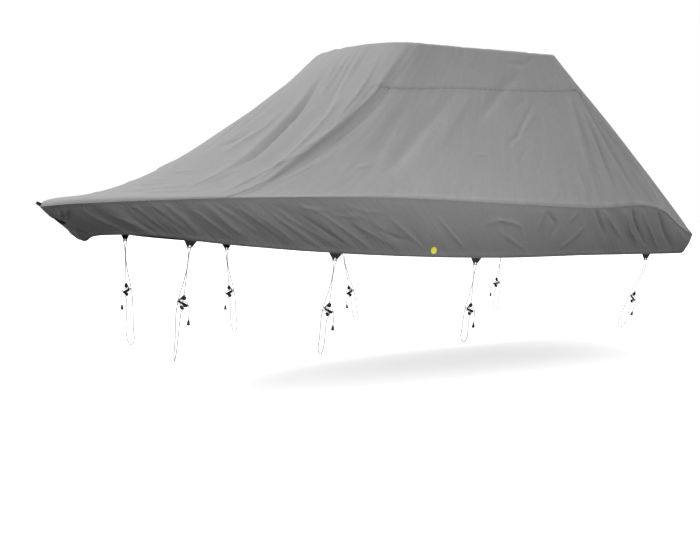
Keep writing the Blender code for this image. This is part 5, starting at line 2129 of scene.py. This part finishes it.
@dataclass(frozen=True)
class Studio:
    """Camera, pale floor, an open sky that dims astern, a gentle key and a low fill on the skirt."""

    lens: float = 51.43
    shift: tuple[float, float] = (-0.0043, -0.1129)
    stand: tuple[float, float, float] = (-6.21, -8.20, -1.480)
    heading: float = -32.6
    floor_size: float = 90.0
    sky: float = 1.18
    ground: float = 0.06
    key: float = 1.2
    key_from: tuple[float, float, float] = (-0.62, 0.20, 0.76)
    key_spread: float = 18.0
    astern: float = 0.38
    horizon: tuple[float, float] = (-0.12, 0.10)
    fill: float = 46.0
    fill_size: float = 1.6
    fill_from: tuple[float, float, float] = (-0.9, -3.9, -1.5)
    fill_at: tuple[float, float, float] = (-0.9, -1.2, -1.7)

    def camera(self) -> None:
        """Stand the camera where the photograph was taken from."""
        data = bpy.data.cameras.new("camera")
        data.sensor_width = 36.0
        data.lens = self.lens
        data.shift_x, data.shift_y = self.shift
        data.clip_end = 300
        item = link("camera", data)
        item.location = self.stand
        item.rotation_euler = (math.pi / 2, 0, math.radians(self.heading))
        bpy.context.scene.camera = item

    def world(self) -> None:
        """White to the eye; as light, bright from above and ahead, and dim from astern and the ground."""
        world = bpy.data.worlds.new("open sky")
        bpy.context.scene.world = world
        world.use_nodes = True
        graph = Graph(world.node_tree)
        way = graph.node("ShaderNodeTexCoord").outputs["Generated"]
        towards = graph.node("ShaderNodeSeparateXYZ", {0: way}).outputs
        low, high = self.horizon
        limits = {"From Min": low, "From Max": high, "To Min": self.ground, "To Max": self.sky}
        above = graph.node("ShaderNodeMapRange", {"Value": towards[2], **limits})
        ahead = graph.maths("MULTIPLY_ADD", towards[0], -self.astern, 1.0)
        strength = graph.maths("MULTIPLY", above.outputs[0], ahead)
        light = graph.node("ShaderNodeBackground", {"Color": (1, 1, 1, 1), "Strength": strength})
        white = graph.node("ShaderNodeBackground", {"Color": (1, 1, 1, 1), "Strength": 1.0})
        seen = graph.node("ShaderNodeLightPath").outputs["Is Camera Ray"]
        mix = graph.node("ShaderNodeMixShader", {0: seen, 1: light.outputs[0], 2: white.outputs[0]})
        graph.node("ShaderNodeOutputWorld", {"Surface": mix.outputs[0]})

    def floor(self) -> None:
        """A plain pale floor at the ground's height, which throws no light back up."""
        mesh = bpy.data.meshes.new("floor")
        half, low = self.floor_size / 2, -MOUNT_HEIGHT
        corners = [(-half, -half, low), (half, -half, low), (half, half, low), (-half, half, low)]
        mesh.from_pydata(corners, [], [(0, 1, 2, 3)])
        item = link("floor", mesh)
        made, graph, shader = shader_graph("floor")
        place = graph.node("ShaderNodeTexCoord").outputs["Object"]
        mottle = graph.node("ShaderNodeTexNoise", {"Vector": place, "Scale": 0.8, "Detail": 3.0})
        tone = graph.maths("MULTIPLY_ADD", mottle.outputs["Fac"], 0.02, -0.01)
        graph.tree.links.new(tinted(graph, (0.95, 0.95, 0.95), tone), shader.inputs["Base Color"])
        shader.inputs["Roughness"].default_value = 0.9
        shader.inputs["Emission Color"].default_value = (1, 1, 1, 1)
        shader.inputs["Emission Strength"].default_value = 0.35
        mesh.materials.append(made)
        item.visible_diffuse = False
        item.visible_glossy = False

    @staticmethod
    def lamp(name: str, kind: str, energy: float, way: Vector) -> Object:
        """Add a light that comes from one way."""
        data = bpy.data.lights.new(name, kind)
        data.energy = energy
        item = link(name, data)
        item.rotation_mode = "QUATERNION"
        item.rotation_quaternion = way.to_track_quat("Z", "Y")
        return item

    def lights(self) -> None:
        """A soft key from ahead of the bow, which rakes over the folds, and a low fill on the port skirt."""
        key = self.lamp("key", "SUN", self.key, Vector(self.key_from))
        key.data.angle = math.radians(self.key_spread)
        fill = self.lamp("fill", "AREA", self.fill, Vector(self.fill_from) - Vector(self.fill_at))
        fill.data.size = self.fill_size
        fill.location = self.fill_from
        fill.visible_camera = False

    def build(self) -> None:
        """Set the studio up."""
        bpy.context.scene.view_settings.view_transform = "Standard"
        self.world()
        self.floor()
        self.lights()


# ---------------------------------------------------------------- the whole cover


def build_ties(finishes: Finishes, drapery: Drapery) -> list[Points]:
    """Make the tabs, ropes, hooks and rope ends of both sides.

    Args:
        finishes: The materials.
        drapery: The cloth, which is held still at each tab.

    Returns:
        The rows of stitches on the tabs.
    """
    rows: list[Points] = []
    for side in Side:
        for number, tie in enumerate(TIES, 1):
            label = f"{side.word}_{number}"
            place = TieFrame(tie, side)
            cord = TieRope(place, tie, f"cord_{label}", f"rope_{label}")
            rope, path = cord.build(finishes.rope)
            hook = RopeHook(place, f"s_hook_{label}", f"hook_{label}").build(finishes.plastic)
            end = RopeEnd(f"bell_{label}", f"rope_end_{label}").build(path, finishes.plastic)
            tab = HemTab(place, f"hem_webbing_{label}", f"tab_{label}")
            tab.build(finishes.webbing)
            rows += tab.rows()
            drapery.calm.append((place.top, TAB_WIDTH * TAB_HOLD))
    return rows


def main() -> None:
    """Build every piece of the cover in order."""
    logging.basicConfig(level=logging.INFO, format="%(message)s")
    studio = Studio()
    studio.camera()
    finishes = make_finishes()
    drapery = Drapery()
    tab_rows = build_ties(finishes, drapery)
    BowTab().build(finishes.webbing)
    StemSaddle().build(finishes.webbing)
    patch = RoundPatch().build(finishes.yellow)
    box = [Vector(corner) for corner in patch.bound_box]
    drapery.calm.append((sum(box, Vector()) / 8, 2 * PATCH_RADIUS))
    stem = placed(SURFACE.skirt(np.array(0.0), np.array(SADDLE_MIDDLE)), Side.PORT)
    drapery.calm.append((Vector(stem), SADDLE_HOLD))
    CentrePanel(drapery).build(finishes.top_cloth)
    for side in Side:
        SidePanel(drapery, side=side).build(finishes.top_cloth)
        Skirt(drapery, side=side).build(finishes.skirt_cloth)
    seams = Seams(drapery)
    Stitching().build("top_stitches", seams.top_rows(), finishes.thread, "top_cloth")
    Stitching().build("hem_stitches", seams.skirt_rows(), finishes.thread, "skirt_cloth")
    fine = Stitching(pitch=0.005, length=0.0034, radius=0.0004)
    fine.build("tab_stitches", tab_rows, finishes.thread, "webbing")
    studio.build()


if __name__ == "__main__":
    main()
